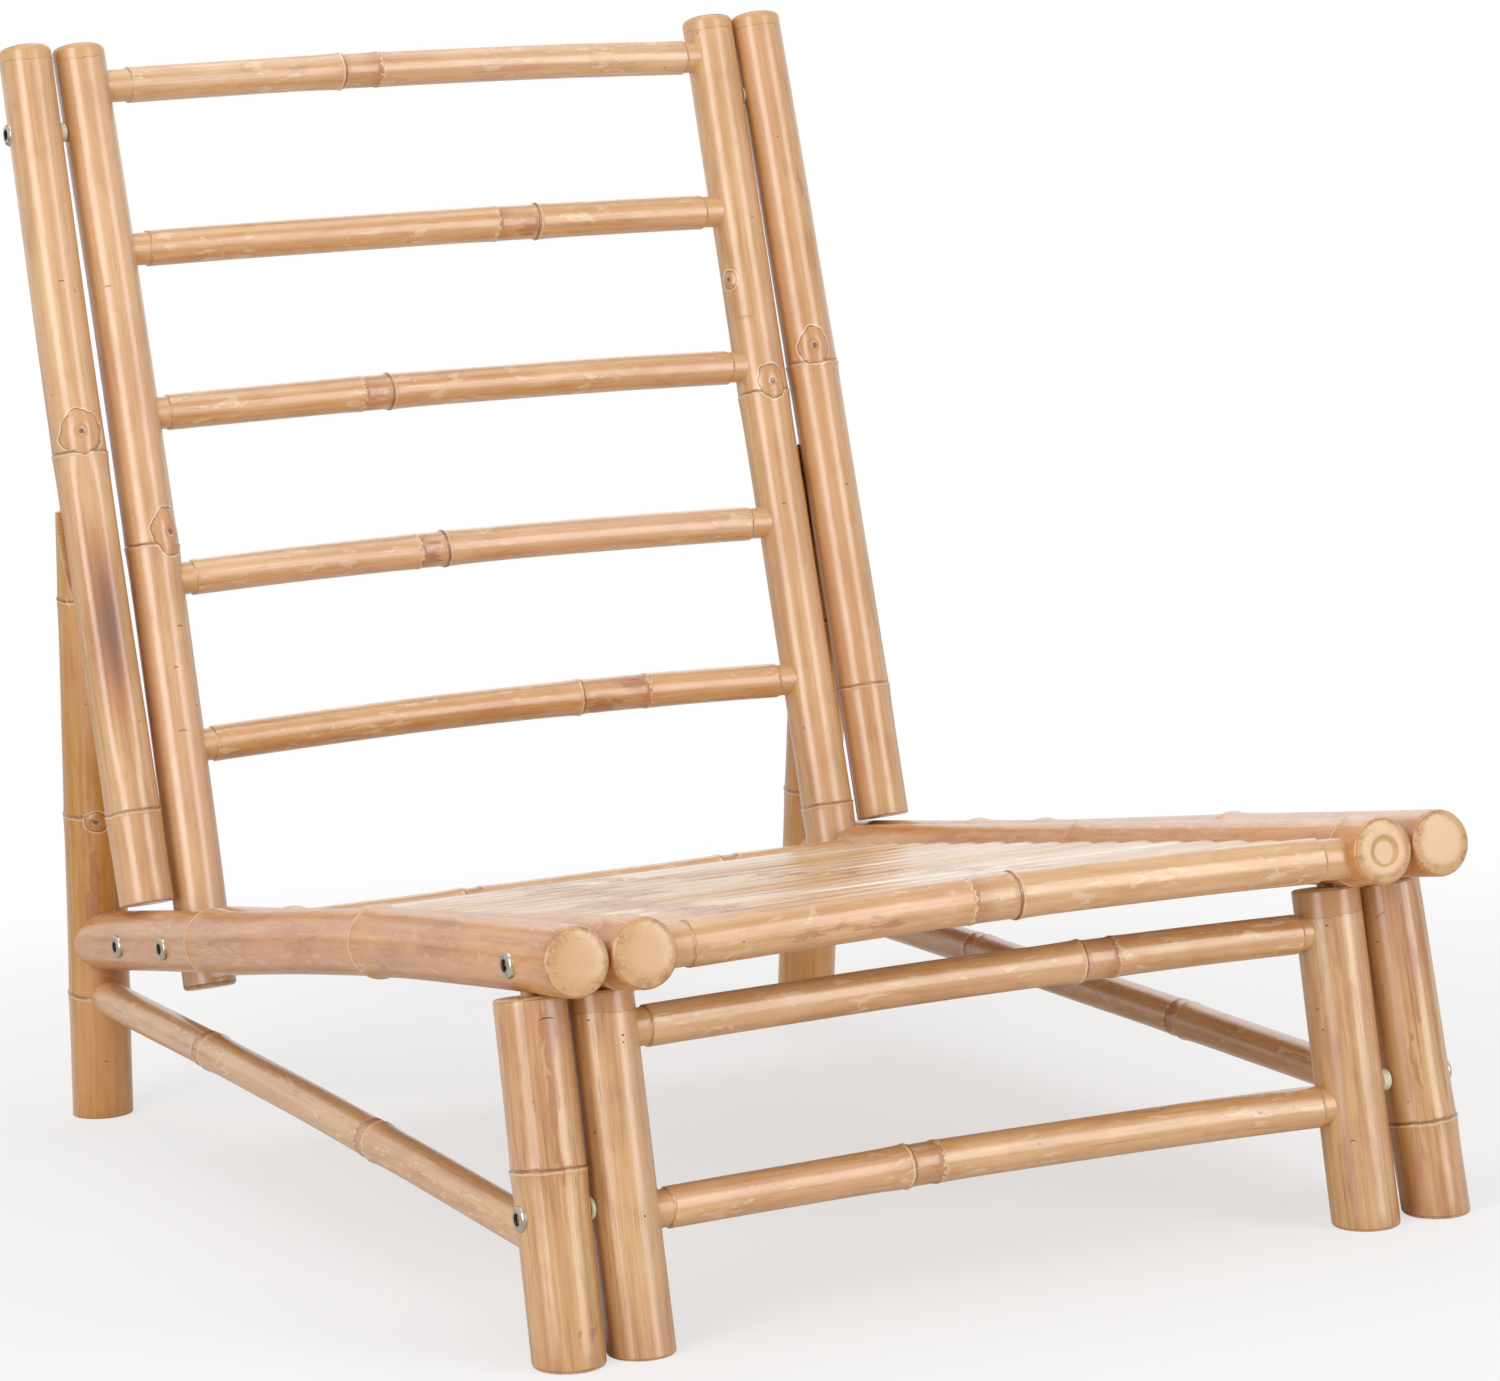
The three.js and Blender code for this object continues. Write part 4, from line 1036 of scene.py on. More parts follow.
def addMarks(name, culm, marks):
    points, faces = [], []
    sides = 6
    for mark in marks:
        shape = markShapes[mark["kind"]]
        spots = np.linspace(-1, 1, shape["points"])
        turn = math.radians(mark["turn"]) + spots * mark["wide"] / 2 / culm["radius"]
        place = mark["at"] + mark.get("slope", 0) * spots + shape["sag"] * (1 - spots**2)
        reach = wallRadius(culm, place, turn)
        thick = shape["thick"] * np.sqrt(np.maximum(1 - spots**2, 0.02))
        centres = culmPoints(culm, reach * np.cos(turn), reach * np.sin(turn), place)
        outward = np.cos(turn)[:, None] * culm["front"] + np.sin(turn)[:, None] * culm["side"]
        base = len(points)
        for i, centre in enumerate(centres):
            for k in range(sides):
                angle = 2 * math.pi * k / sides
                points.append(centre + culm["axis"] * thick[i] * math.cos(angle)
                              + outward[i] * thick[i] * 0.5 * math.sin(angle))
        for i in range(len(centres) - 1):
            for k in range(sides):
                after = (k + 1) % sides
                low, high = base + i * sides, base + (i + 1) * sides
                faces.append((low + k, low + after, high + after, high + k))
        faces.append(tuple(base + k for k in reversed(range(sides))))
        faces.append(tuple(base + (len(centres) - 1) * sides + k for k in range(sides)))
    addPiece(name, np.array(points) * mm, faces, {}, [smallMaterials["budScarBark"]], [])


# Side frames
forwards = point(0, -1, 0)
outerBackPole = {
    "nodes": {"left": [0.106, 0.521], "right": [0.161, 0.559]},
    "bareTop": 13,
    "seed": 1.3,
    "scars": {
        "left": [{"at": 334, "turn": -9, "wide": 29, "tall": 31, "raise": 1.9}],
        "right": [{"at": 358, "turn": -15, "wide": 22, "tall": 28}],
    },
    "dip": {"left": [0, 1], "right": [0, 1]},
    "stains": {"left": [{"at": 199, "turn": -8, "wide": 13, "tall": 68, "depth": 1.0}], "right": []},
    "warms": {"left": [],
              "right": [{"at": 470, "turn": 20, "wide": 5, "tall": 40, "depth": 0.4}]},
    "flutes": {"left": [{"from": 75, "to": 320, "turn": -9, "wide": 0.42, "depth": 1.7}], "right": []},
    "marks": {"left": [{"kind": "crescent", "at": 441, "turn": -6, "wide": 5}],
              "right": [{"kind": "crescent", "at": 250, "turn": 10, "wide": 4},
                        {"kind": "pinhole", "at": 520, "turn": -20, "wide": 1.2}]},
    "shade": {"left": 0.1, "right": -0.1},
}
rearLeg = {
    "nodes": {"left": [0.246, 0.534, 0.87], "right": [0.425, 0.72]},
    "scars": {"left": [{"at": 244, "turn": -17, "wide": 16, "tall": 14, "raise": 0.7}], "right": []},
    "warms": {"left": [{"at": 131, "turn": 1, "wide": 9, "tall": 10, "depth": 0.9},
                       {"at": 185, "turn": -25, "wide": 6, "tall": 50, "depth": 0.8}], "right": []},
    "marks": {"left": [{"kind": "pinhole", "at": 330, "turn": -30, "wide": 1.4},
                       {"kind": "pinhole", "at": 345, "turn": -12, "wide": 1.2},
                       {"kind": "crescent", "at": 66, "turn": -10, "wide": 4}], "right": []},
    "radius": radii["rearLeg"],
    "seed": 2.6,
    "shade": -0.9,
    "scarfInset": 5,  # the flat of the scarf lies this far behind the pole's axis
}
outerSeatRail = {
    "nodes": {"left": [0.355, 0.71], "right": [0.287, 0.58, 0.693]},
    "radius": radii["rail"],
    "seed": 3.9,
    "swell": 1.9,
    "crook": {"left": [(0, (0, 0, 0)), (0.355, (0, 0, 0)), (0.66, (0, 0, -4.5)), (1, (0, 0, 0))],
              "right": [(0, (0, 0, 0)), (0.287, (0, 0, 1)), (0.58, (0, 0, -1)), (1, (0, 0, 0))]},
    "warms": {"left": [{"at": 250, "turn": -35, "wide": 9, "tall": 22, "depth": 0.5}], "right": []},
    "hornTrim": 7,
}
outerFrontLeg = {
    "nodes": {"left": [0.577], "right": [0.349]},
    "radius": radii["frontLeg"],
    "seed": 5.2,
    "swell": 1.2,
    "edge": 2.4,
    "warms": {"left": [{"at": 218, "turn": 2, "wide": 6, "tall": 12, "depth": 0.8},
                       {"at": 170, "turn": -4, "wide": 4, "tall": 45, "depth": 0.75},
                       {"at": 40, "turn": 10, "wide": 9, "tall": 6, "depth": 0.6}],
              "right": [{"at": 190, "turn": -8, "wide": 3, "tall": 60, "depth": 0.6},
                        {"at": 150, "turn": 22, "wide": 2.5, "tall": 55, "depth": 0.6},
                        {"at": 120, "turn": -30, "wide": 3, "tall": 40, "depth": 0.5}]},
    "marks": {"left": [{"kind": "crescent", "at": 221, "turn": 0, "wide": 11}],
              "right": [{"kind": "scratch", "at": 212, "turn": -50, "wide": 9, "slope": 2.5},
                        {"kind": "pinhole", "at": 196, "turn": -62, "wide": 1.6}]},
}
sideStretcher = {
    "nodes": {"left": [0.335, 0.702], "right": [0.33, 0.665]},
    "radius": radii["sideStretcher"],
    "sides": 44,
    "seed": 6.5,
    "bow": {"left": 4, "right": 3},
    "front": 68.5,
    "gap": 5.5,
    "band": 11,
    "hornTrim": 4,
}
frontLegs = {}
copedEnds = []  # name, place on the leg's axis, direction into the leg, and the leg's radius
for hand, sign in handSigns.items():
    upRearLeg, rearFoot, railEnd, railLength, railBow = sideFrameLines(hand)
    lift = bowLift(railBow, railCrossing / railLength) * offSeat[2]
    poleFoot = radii["rail"] + chair["fitGap"] + lift + radii["poleFoot"] * math.sin(poleLean)
    poleFoot = poleFoot / math.cos(poleLean)
    outwards = point(sign, 0, 0)

    footPlane = poleTopPlane(hand) + chair["poleFootSpread"][hand]
    pole = layCulm(atSide(poleCrossing + upBack * poleFoot, hand, footPlane),
                   atSide(poleCrossing + upBack * chair["stileRise"], hand, poleTopPlane(hand)), forwards,
                   {"radius": radii["poleFoot"], "tipRadius": radii["poleTip"],
                    "seed": outerBackPole["seed"] + sign, "shade": outerBackPole["shade"][hand],
                    "bow": point(sign * chair["backPoleBow"][hand], 0, 0),
                    "bareEnd": outerBackPole["bareTop"], "domedEnd": True})
    pole["nodes"] = placed(outerBackPole["nodes"][hand], pole["length"])
    for key in ("scars", "stains", "warms", "flutes"):
        pole[key] = outerBackPole[key][hand]
    for node, dip in zip(pole["nodes"], outerBackPole["dip"][hand]):
        node.update(dip=dip, dipTurn=pole["scars"][0]["turn"])
    buildCulm(f"outer_back_pole_{hand}", pole, "bambooPoles")
    addMarks(f"outer_back_pole_{hand}_marks", pole, outerBackPole["marks"][hand])

    leg = layCulm(atRearPlane(rearFoot - upRearLeg * rearLeg["radius"], hand),
                  atRearPlane(atHeight(rearFoot, upRearLeg, chair["rearLegTop"]), hand), forwards,
                  {"radius": rearLeg["radius"], "seed": rearLeg["seed"] + sign, "shade": rearLeg["shade"],
                   "scars": rearLeg["scars"][hand], "warms": rearLeg["warms"][hand]})
    leg["nodes"] = placed(rearLeg["nodes"][hand], leg["length"])
    leg["startCut"] = floorCut(leg)
    besidePole = saddleCut(leg, pole, radii["poleFoot"] - chair["fitGap"], False, 0)
    scarfFlat = planeCut(leg, pole["start"] + behindBack * rearLeg["scarfInset"], behindBack)
    leg["endCut"] = scarfCut(besidePole, scarfFlat, leg["length"])
    buildCulm(f"rear_leg_{hand}", leg, "bambooPoles")
    if rearLeg["marks"][hand]:
        addMarks(f"rear_leg_{hand}_marks", leg, rearLeg["marks"][hand])

    rail = layCulm(atSide(railFront, hand, railPlane), atSide(railEnd, hand, railPlane), outwards,
                   {"radius": outerSeatRail["radius"], "seed": outerSeatRail["seed"] + sign,
                    "bow": point(0, 0, railBow), "crook": outerSeatRail["crook"][hand],
                    "warms": outerSeatRail["warms"][hand], "domedStart": True})
    rail["nodes"] = placed(outerSeatRail["nodes"][hand], rail["length"], swell=outerSeatRail["swell"])
    rail["endCut"] = saddleCut(rail, leg, rearLeg["radius"], False, outerSeatRail["hornTrim"])
    buildCulm(f"outer_seat_rail_{hand}", rail, "bambooRails")

    frontLeg = layCulm(atLegPlane(frontFoot - upFrontLeg * outerFrontLeg["radius"], hand),
                       atLegPlane(frontLegTop(railBow, railLength), hand), forwards,
                       {"radius": outerFrontLeg["radius"], "seed": outerFrontLeg["seed"] + sign,
                        "edge": outerFrontLeg["edge"], "warms": outerFrontLeg["warms"][hand]})
    frontLeg["nodes"] = placed(outerFrontLeg["nodes"][hand], frontLeg["length"], swell=outerFrontLeg["swell"])
    frontLeg["startCut"] = floorCut(frontLeg)
    buildCulm(f"outer_front_leg_{hand}", frontLeg, "bambooLegs")
    addMarks(f"outer_front_leg_{hand}_marks", frontLeg, outerFrontLeg["marks"][hand])
    frontLegs[f"outer_front_leg_{hand}"] = frontLeg

    rearHeight = railEnd[2] - radii["rail"] - sideStretcher["gap"] - sideStretcher["radius"]
    stretcher = layCulm(atLegPlane(atHeight(frontFoot, upFrontLeg, sideStretcher["front"]), hand),
                        atRearPlane(atHeight(rearFoot, upRearLeg, rearHeight), hand), outwards,
                        {"radius": sideStretcher["radius"], "sides": sideStretcher["sides"],
                         "bow": point(0, 0, sideStretcher["bow"][hand]),
                         "seed": sideStretcher["seed"] + sign})
    stretcher["nodes"] = placed(sideStretcher["nodes"][hand], stretcher["length"], band=sideStretcher["band"])
    trim = sideStretcher["hornTrim"]
    stretcher["startCut"] = saddleCut(stretcher, frontLeg, outerFrontLeg["radius"], True, trim)
    stretcher["endCut"] = saddleCut(stretcher, leg, rearLeg["radius"], False, trim)
    buildCulm(f"side_stretcher_{hand}", stretcher, "bambooBars")
    copedEnds += [
        (f"rail_end_peg_{hand}", farEnd(rail), rail["axis"], rearLeg["radius"]),
        (f"stretcher_rear_peg_{hand}", farEnd(stretcher), stretcher["axis"], rearLeg["radius"]),
        (f"stretcher_front_peg_{hand}", stretcher["start"], -stretcher["axis"], outerFrontLeg["radius"]),
    ]
print("side frames built")

# Back ladder
backStile = {
    "nodes": {"left": [0.464], "right": [0.109, 0.57]},
    "dip": {"left": [1], "right": [0, 1]},
    "bareTop": 13,
    "edge": 3,
    "seed": 7.8,
    "scars": {
        "left": [{"at": 322, "turn": 25, "wide": 24, "tall": 34, "raise": 1.7}],
        "right": [{"at": 394, "turn": -2, "wide": 21, "tall": 27},
                  {"at": 475, "turn": -69, "wide": 12, "tall": 14}],
    },
    "marks": {
        "left": [{"kind": "crescent", "at": 500, "turn": -33, "wide": 5},
                 {"kind": "crescent", "at": 254, "turn": 19, "wide": 6},
                 {"kind": "crescent", "at": 225, "turn": -4, "wide": 4},
                 {"kind": "crescent", "at": 180, "turn": -8, "wide": 7},
                 {"kind": "pinhole", "at": 198, "turn": 40, "wide": 2.2}],
        "right": [{"kind": "crescent", "at": 300, "turn": -20, "wide": 4},
                  {"kind": "pinhole", "at": 520, "turn": 12, "wide": 1.4}],
    },
    "shade": {"left": 0.2, "right": 0.0},
}
rungs = {
    "count": 5,
    "drop": 31.5,
    "pitch": 119.6,
    "bands": [(192, 28), (329, -32), (192, -21), (217, -20), (308, 53)],  # where from, and how wide
    "bow": [3, 2, 3, 4, 5],
    "radius": radii["rung"],
    "seed": 9.1,
    "shade": 0.3,  # from darker to lighter by this much
    "tenon": 13,
    "barkStart": [27.6, 24.9, 22.3, 23.2, 20.9],
    "barkEnd": [20, 24, 22, 25, 22],
    "warms": [[{"at": 485, "turn": 0, "wide": 14, "tall": 14, "depth": 0.5}],
              [{"at": 320, "turn": 10, "wide": 7, "tall": 12, "depth": 0.9}],
              [],
              [{"at": 206, "turn": 0, "wide": 12, "tall": 9, "depth": 0.5}],
              [{"at": 322, "turn": 25, "wide": 9, "tall": 13, "depth": 0.9},
               {"at": 348, "turn": -30, "wide": 8, "tall": 11, "depth": 0.9}]],
}
for hand, sign in handSigns.items():
    stile = layCulm(atSide(backCrossing - upBack * chair["stileTail"], hand, innerPlane),
                    atSide(backCrossing + upBack * chair["stileRise"], hand, innerPlane), forwards,
                    {"radius": radii["stile"], "seed": backStile["seed"] + sign, "domedEnd": True,
                     "bareEnd": backStile["bareTop"], "edge": backStile["edge"],
                     "bow": point(-sign * chair["stileBow"][hand], 0, 0),
                     "scars": backStile["scars"][hand], "shade": backStile["shade"][hand]})
    stile["nodes"] = placed(backStile["nodes"][hand], stile["length"])
    for node, dip in zip(stile["nodes"], backStile["dip"][hand]):
        node.update(dip=dip, dipTurn=stile["scars"][0]["turn"])
    buildCulm(f"back_stile_{hand}", stile, "bambooPoles")
    addMarks(f"back_stile_{hand}_marks", stile, backStile["marks"][hand])


# A bar from socket to socket. Its shaved ends show past the edges of the bark.
barBasics = {"sides": 48, "shaved": 1}
barSwell = 1.0


def addBar(name, across, hostRadius, details):
    reach = innerPlane - hostRadius + details["tenon"]
    shift = point(details.get("shift", 0), 0, 0)
    bar = layCulm(atSide(across, "left", reach) + shift, atSide(across, "right", reach) + shift, forwards,
                  dict(barBasics, **details))
    bar["nodes"] = [{"at": at, "band": band, "swell": barSwell} for at, band in details["bands"]]
    buildCulm(name, bar, "bambooBars")


for i in range(rungs["count"]):
    across = backCrossing + upBack * (chair["stileRise"] - rungs["drop"] - i * rungs["pitch"])
    addBar(f"back_rung_{i + 1}", across, radii["stile"],
           {"radius": rungs["radius"], "bands": [rungs["bands"][i]], "bow": point(0, 0, rungs["bow"][i]),
            "tenon": rungs["tenon"], "bareStart": rungs["barkStart"][i], "bareEnd": rungs["barkEnd"][i],
            "warms": rungs["warms"][i], "seed": rungs["seed"] + i,
            "shade": rungs["shade"] * math.cos(2.3 * i)})
print("back ladder built")

# Seat panel
innerSeatRail = {
    "nodes": {"left": [0.045, 0.43, 0.8], "right": [0.047, 0.517]},
    "radius": radii["rail"],
    "seed": 11.7,
    "swell": 1.5,
    "recess": {"left": None, "right": {"radius": 9.5, "lip": -0.2, "depth": 1.6}},
    "crown": {"left": 6, "right": 4.5},
}
seatBars = {
    "front": {"radius": radii["frontBar"], "bands": [(242, -30)], "bow": point(0, 0, 3), "tenon": 13,
              "bareStart": 26.5, "bareEnd": 29.4, "seed": 15.2, "setback": 22,
              "crook": [(0, (0, 0, 0)), (0.5, (0, 0, 0)), (1, (0, 0, -2.6))],
              "warms": [{"at": 120, "turn": 20, "wide": 8, "tall": 60, "depth": 0.4}]},
    "rear": {"radius": radii["rearBar"], "bands": [(166, 14), (370, 14)], "bow": point(0, 0, 0), "tenon": 13,
             "bareStart": 14, "bareEnd": 14, "seed": 16.4, "setback": 20},
}
for hand, sign in handSigns.items():
    rail = layCulm(atSide(railFront, hand, innerPlane),
                   atSide(railFront + alongSeat * innerRailLength, hand, innerPlane), point(sign, 0, 0),
                   {"radius": innerSeatRail["radius"], "seed": innerSeatRail["seed"] + sign,
                    "domedStart": True, "recess": innerSeatRail["recess"][hand],
                    "crown": innerSeatRail["crown"][hand]})
    rail["nodes"] = placed(innerSeatRail["nodes"][hand], rail["length"], swell=innerSeatRail["swell"])
    buildCulm(f"inner_seat_rail_{hand}", rail, "bambooRails")
for end, bar in seatBars.items():
    place = bar["setback"] if end == "front" else innerRailLength - bar["setback"]
    details = {key: value for key, value in bar.items() if key != "setback"}
    addBar(f"{end}_seat_bar", railFront + alongSeat * place, radii["rail"], details)

# Slats: strips split from a thick culm, bark side up, flat below and crowned above. Their nodes lie
# in two slanting rows, because neighbouring strips come from the same culm.
slats = {
    "count": 16,
    "space": 2.5,
    "edge": 5,
    "crown": 10.5,
    "crownPower": 0.9,
    "ridge": 1.1,
    "grooveDepth": 10.5,
    "endPlay": 1.2,
    "rounding": 0.7,
    "edgeRounding": 0.25,
    "across": 14,
    "step": 12,
    "nodeSteps": (0, 0.6, 1.2, 2, 3.2, 5, 7, 10, 16),
    "leastStep": 0.2,
    "nodeRows": [
        {"first": -141, "drift": 3.2, "from": 0, "to": 8, "depth": 1.0},
        {"first": -106, "drift": 4.2, "from": 9, "to": 15, "depth": 1.3},
        {"first": 104, "drift": -6.5, "from": 0, "to": 15, "depth": 0.6},
    ],
    "nodeScatter": 5,
    "nodeRise": 0.35,
    "nodeWidth": 4,
    "nodeNear": 20,
    "nodeSkew": 1.2,
    "wave": 0.2,
    "waveLength": 140,
    "topDrop": 0.55,  # keeps the waves and the nodes inside the CAD slat
    "warmWidth": 19,
    "warmSkew": 6,
    "shade": 1.1,
    "grainShift": (45, 500),  # across and along from slat to slat
}
slatsFrom = seatBars["front"]["setback"] + seatBars["front"]["radius"] + slats["ridge"] + chair["fitGap"]
slatsTo = (innerRailLength - seatBars["rear"]["setback"] - seatBars["rear"]["radius"] - slats["ridge"]
           - chair["fitGap"])
slatPitch = (slatsTo - slatsFrom) / slats["count"]
slatReach = innerPlane - radii["rail"] + slats["grooveDepth"] - slats["endPlay"]


def slatOutline(half):
    rounding, edge = slats["rounding"], slats["edge"]
    outline = [(-half + rounding, 0), (half - rounding, 0), (half, rounding), (half, edge - rounding)]
    for i in range(slats["across"] + 1):
        turn = math.pi * i / slats["across"]
        rise = (slats["crown"] - edge) * math.sin(turn) ** slats["crownPower"]
        outline.append(((half - slats["edgeRounding"]) * math.cos(turn), edge + rise))
    outline += [(-half, edge - rounding), (-half, rounding)]
    return np.array(outline)


def slatSteps(nodeAt):
    steps = list(np.arange(-slatReach, slatReach, slats["step"]))
    for node in nodeAt:
        steps += [node + sign * gap for gap in slats["nodeSteps"] for sign in (-1, 1)]
    steps = [step for step in sorted(steps) if -slatReach < step < slatReach]
    inside = [step for before, step in zip(steps, steps[1:]) if step - before > slats["leastStep"]]
    return [-slatReach] + inside + [slatReach]


def addSlat(number):
    outline = slatOutline((slatPitch - slats["space"]) / 2)
    seed = 3.7 * number
    rowsHere = [row for row in slats["nodeRows"] if row["from"] <= number <= row["to"]]
    nodeAt = [row["first"] + row["drift"] * number + slats["nodeScatter"] * math.sin(seed + row["first"])
              for row in rowsHere]
    steps = slatSteps(nodeAt)
    acrossShift, alongShift = slats["grainShift"]
    start = railFront + alongSeat * (slatsFrom + slatPitch * (number + 0.5)) + point(middle, 0, 0)
    rows, rings, grains, nears, warms = [], [], [], [], []
    for step in steps:
        wave = slats["wave"] * math.sin(step / slats["waveLength"] + seed)
        gap = min((step - node for node in nodeAt), key=abs)
        depth = rowsHere[[step - node for node in nodeAt].index(gap)]["depth"]
        raised = slats["nodeRise"] * math.exp(-((gap / slats["nodeWidth"]) ** 2))
        for across, up in outline:
            top = max(0, min(1, (up - slats["edge"] * 0.5) / 3))
            lift = (wave + raised - slats["topDrop"]) * top
            rows.append(start + point(step, 0, 0) + alongSeat * across + offSeat * (up + lift))
            skew = slats["nodeSkew"] * math.sin(across / 4 + seed)
            rings.append(max(-culmBasics["far"], min(gap + skew, culmBasics["far"])))
            nears.append(1 if abs(gap) < slats["nodeNear"] else 0)
            warmGap = gap + slats["warmSkew"] * math.sin(across / 5 + seed)
            warms.append(depth * math.exp(-((warmGap / slats["warmWidth"]) ** 2)))
            grains.append((across + acrossShift * seed, up, step + alongShift * number))
    count = len(outline)
    faces = []
    for i in range(len(steps) - 1):
        low, high = i * count, (i + 1) * count
        faces += [(low + k, low + (k + 1) % count, high + (k + 1) % count, high + k) for k in range(count)]
    faces.append(tuple(range(count - 1, -1, -1)))
    faces.append(tuple((len(steps) - 1) * count + k for k in range(count)))
    total = len(rows)
    far = float(culmBasics["far"])
    attributes = {
        "grain": np.array(grains),
        "ring": np.array(rings),
        "band": np.full(total, far),
        "near": np.array(nears, float),
        "scar": np.tile((far, far, 1.0), (total, 1)),
        "bare": np.full(total, float(culmBasics["inBark"])),
        "stain": np.zeros(total),
        "warm": np.array(warms),
        "shade": np.full(total, slats["shade"] * math.sin(5.1 * number)),
        "endGrain": np.zeros(total),
        "endShare": np.ones(total),
    }
    name = f"seat_slat_{number + 1:02d}"
    addPiece(name + "_look", np.array(rows) * mm, faces, attributes, [bambooMaterials["bambooSlats"]],
             [name])


for number in range(slats["count"]):
    addSlat(number)
print("seat panel built")

# Front-leg ladder
innerFrontLeg = {
    "seed": 13.0,
    "shade": 0.15,
    "warm": {"at": 228, "turn": 40, "wide": 60, "tall": 9, "depth": 0.45},  # turned to its own side
    "bareTop": {"left": 13, "right": 18},
    "edge": {"left": 1.6, "right": 2},
    "marks": {
        "left": [{"kind": "pinhole", "at": 217, "turn": -47, "wide": 1.6},
                 {"kind": "pinhole", "at": 206, "turn": 8, "wide": 2},
                 {"kind": "pinhole", "at": 202, "turn": 7, "wide": 1.4},
                 {"kind": "pinhole", "at": 152, "turn": -60, "wide": 1.6},
                 {"kind": "pinhole", "at": 101, "turn": 9, "wide": 1.5}],
        "right": [{"kind": "crescent", "at": 158, "turn": -72, "wide": 3},
                  {"kind": "crescent", "at": 145, "turn": -66, "wide": 3},
                  {"kind": "crescent", "at": 75, "turn": -38, "wide": 4},
                  {"kind": "pinhole", "at": 210, "turn": -37, "wide": 1.6}],
    },
}
legStretchers = {
    "upper": {"height": legTop[2] - 25, "bands": [(312, 22)], "drop": -2.0, "tipRadius": 12.4},
    "lower": {"height": 79, "bands": [(177, 19)], "drop": -3.6, "tipRadius": 13.3},
}
stretcherBasics = {"bow": point(0, 0, 3), "tenon": 13, "bareStart": 18, "bareEnd": 18, "seed": 17.7}
for hand, sign in handSigns.items():
    leg = layCulm(atSide(frontFoot - upFrontLeg * radii["frontLeg"], hand, innerLegPlane(hand)),
                  atSide(legTop, hand, innerLegPlane(hand)), forwards,
                  {"radius": radii["innerLeg"][hand], "seed": innerFrontLeg["seed"] + sign,
                   "edge": innerFrontLeg["edge"][hand], "bareEnd": innerFrontLeg["bareTop"][hand],
                   "shade": innerFrontLeg["shade"],
                   "warms": [dict(innerFrontLeg["warm"], turn=innerFrontLeg["warm"]["turn"] * sign)]})
    leg["startCut"] = floorCut(leg)
    buildCulm(f"inner_front_leg_{hand}", leg, "bambooLegs")
    addMarks(f"inner_front_leg_{hand}_marks", leg, innerFrontLeg["marks"][hand])
    frontLegs[f"inner_front_leg_{hand}"] = leg
for level, bar in legStretchers.items():
    addBar(f"{level}_leg_stretcher", atHeight(frontFoot, upFrontLeg, bar["height"]), radii["frontLeg"],
           dict(stretcherBasics, radius=radii["legStretcher"], tipRadius=bar["tipRadius"],
                bands=bar["bands"], crook=[(0, (0, 0, 0)), (1, (0, 0, bar["drop"]))],
                seed=stretcherBasics["seed"] + bar["height"] / 50, shift=chair["legLadderShift"]))
print("front-leg ladder built")

# Bolts, spacers and pegs: turned pieces, built as rings round a line
bolts = {
    "headRadius": 8,
    "headHeight": 3.4,
    "rimHeight": 1.2,
    "crownRadius": 5.2,
    "socketRadius": 2.9,  # across the flats, halved
    "socketDepth": 2.2,
    "shankRadius": 3,
    "insertRadius": 4.6,
    "insertLength": 14,
    "insertPastAxis": 2,
    "threadPitch": 1.2,
    "threadDepth": 0.45,
    "sharpFrom": 38,  # degrees between faces
    "topDrop": 63,
    "lowHeight": 86,
    "seatFront": 54.5,
    "seatRear": 54,
    "spacerRadius": 7,
    "sides": 48,
}
pegs = {"radius": 5, "inLeg": 26, "inRail": 13, "chamfer": 1, "copedReach": 15}


# Each ring is a radius, a place along the line, and 1 for round or 0 for six-sided.
def addTurned(name, start, end, rings, closed, materials, paintedShadeFrom):
    axis = unit(end - start)
    front = unit(np.cross(axis, (0.0, 0.0, 1.0)) if abs(axis[2]) < 0.9 else np.cross(axis, (0.0, 1.0, 0.0)))
    side = np.cross(axis, front)
    sides = bolts["sides"]
    points = []
    for radius, place, roundness in rings:
        for i in range(sides):
            turn = 2 * math.pi * i / sides
            sixth = (turn % (math.pi / 3)) - math.pi / 6
            reach = radius * (roundness + (1 - roundness) / math.cos(sixth))
            points.append(start + axis * place + front * reach * math.cos(turn)
                          + side * reach * math.sin(turn))
    count = len(rings)
    faces = []
    for row in range(count if closed else count - 1):
        low, high = row * sides, (row + 1) % count * sides
        faces += [(low + i, low + (i + 1) % sides, high + (i + 1) % sides, high + i) for i in range(sides)]
    if not closed:
        faces.append(tuple(reversed(range(sides))))
        faces.append(tuple((count - 1) * sides + i for i in range(sides)))
    replaced = [name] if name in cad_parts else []
    piece = addPiece(name + "_look", np.array(points) * mm, faces, {}, materials, replaced)
    # faces from that ring on take the second material, the socket's painted shade
    for face in piece.data.polygons[paintedShadeFrom * sides :] if paintedShadeFrom else []:
        face.material_index = 1
    piece.data.set_sharp_from_angle(angle=math.radians(bolts["sharpFrom"]))


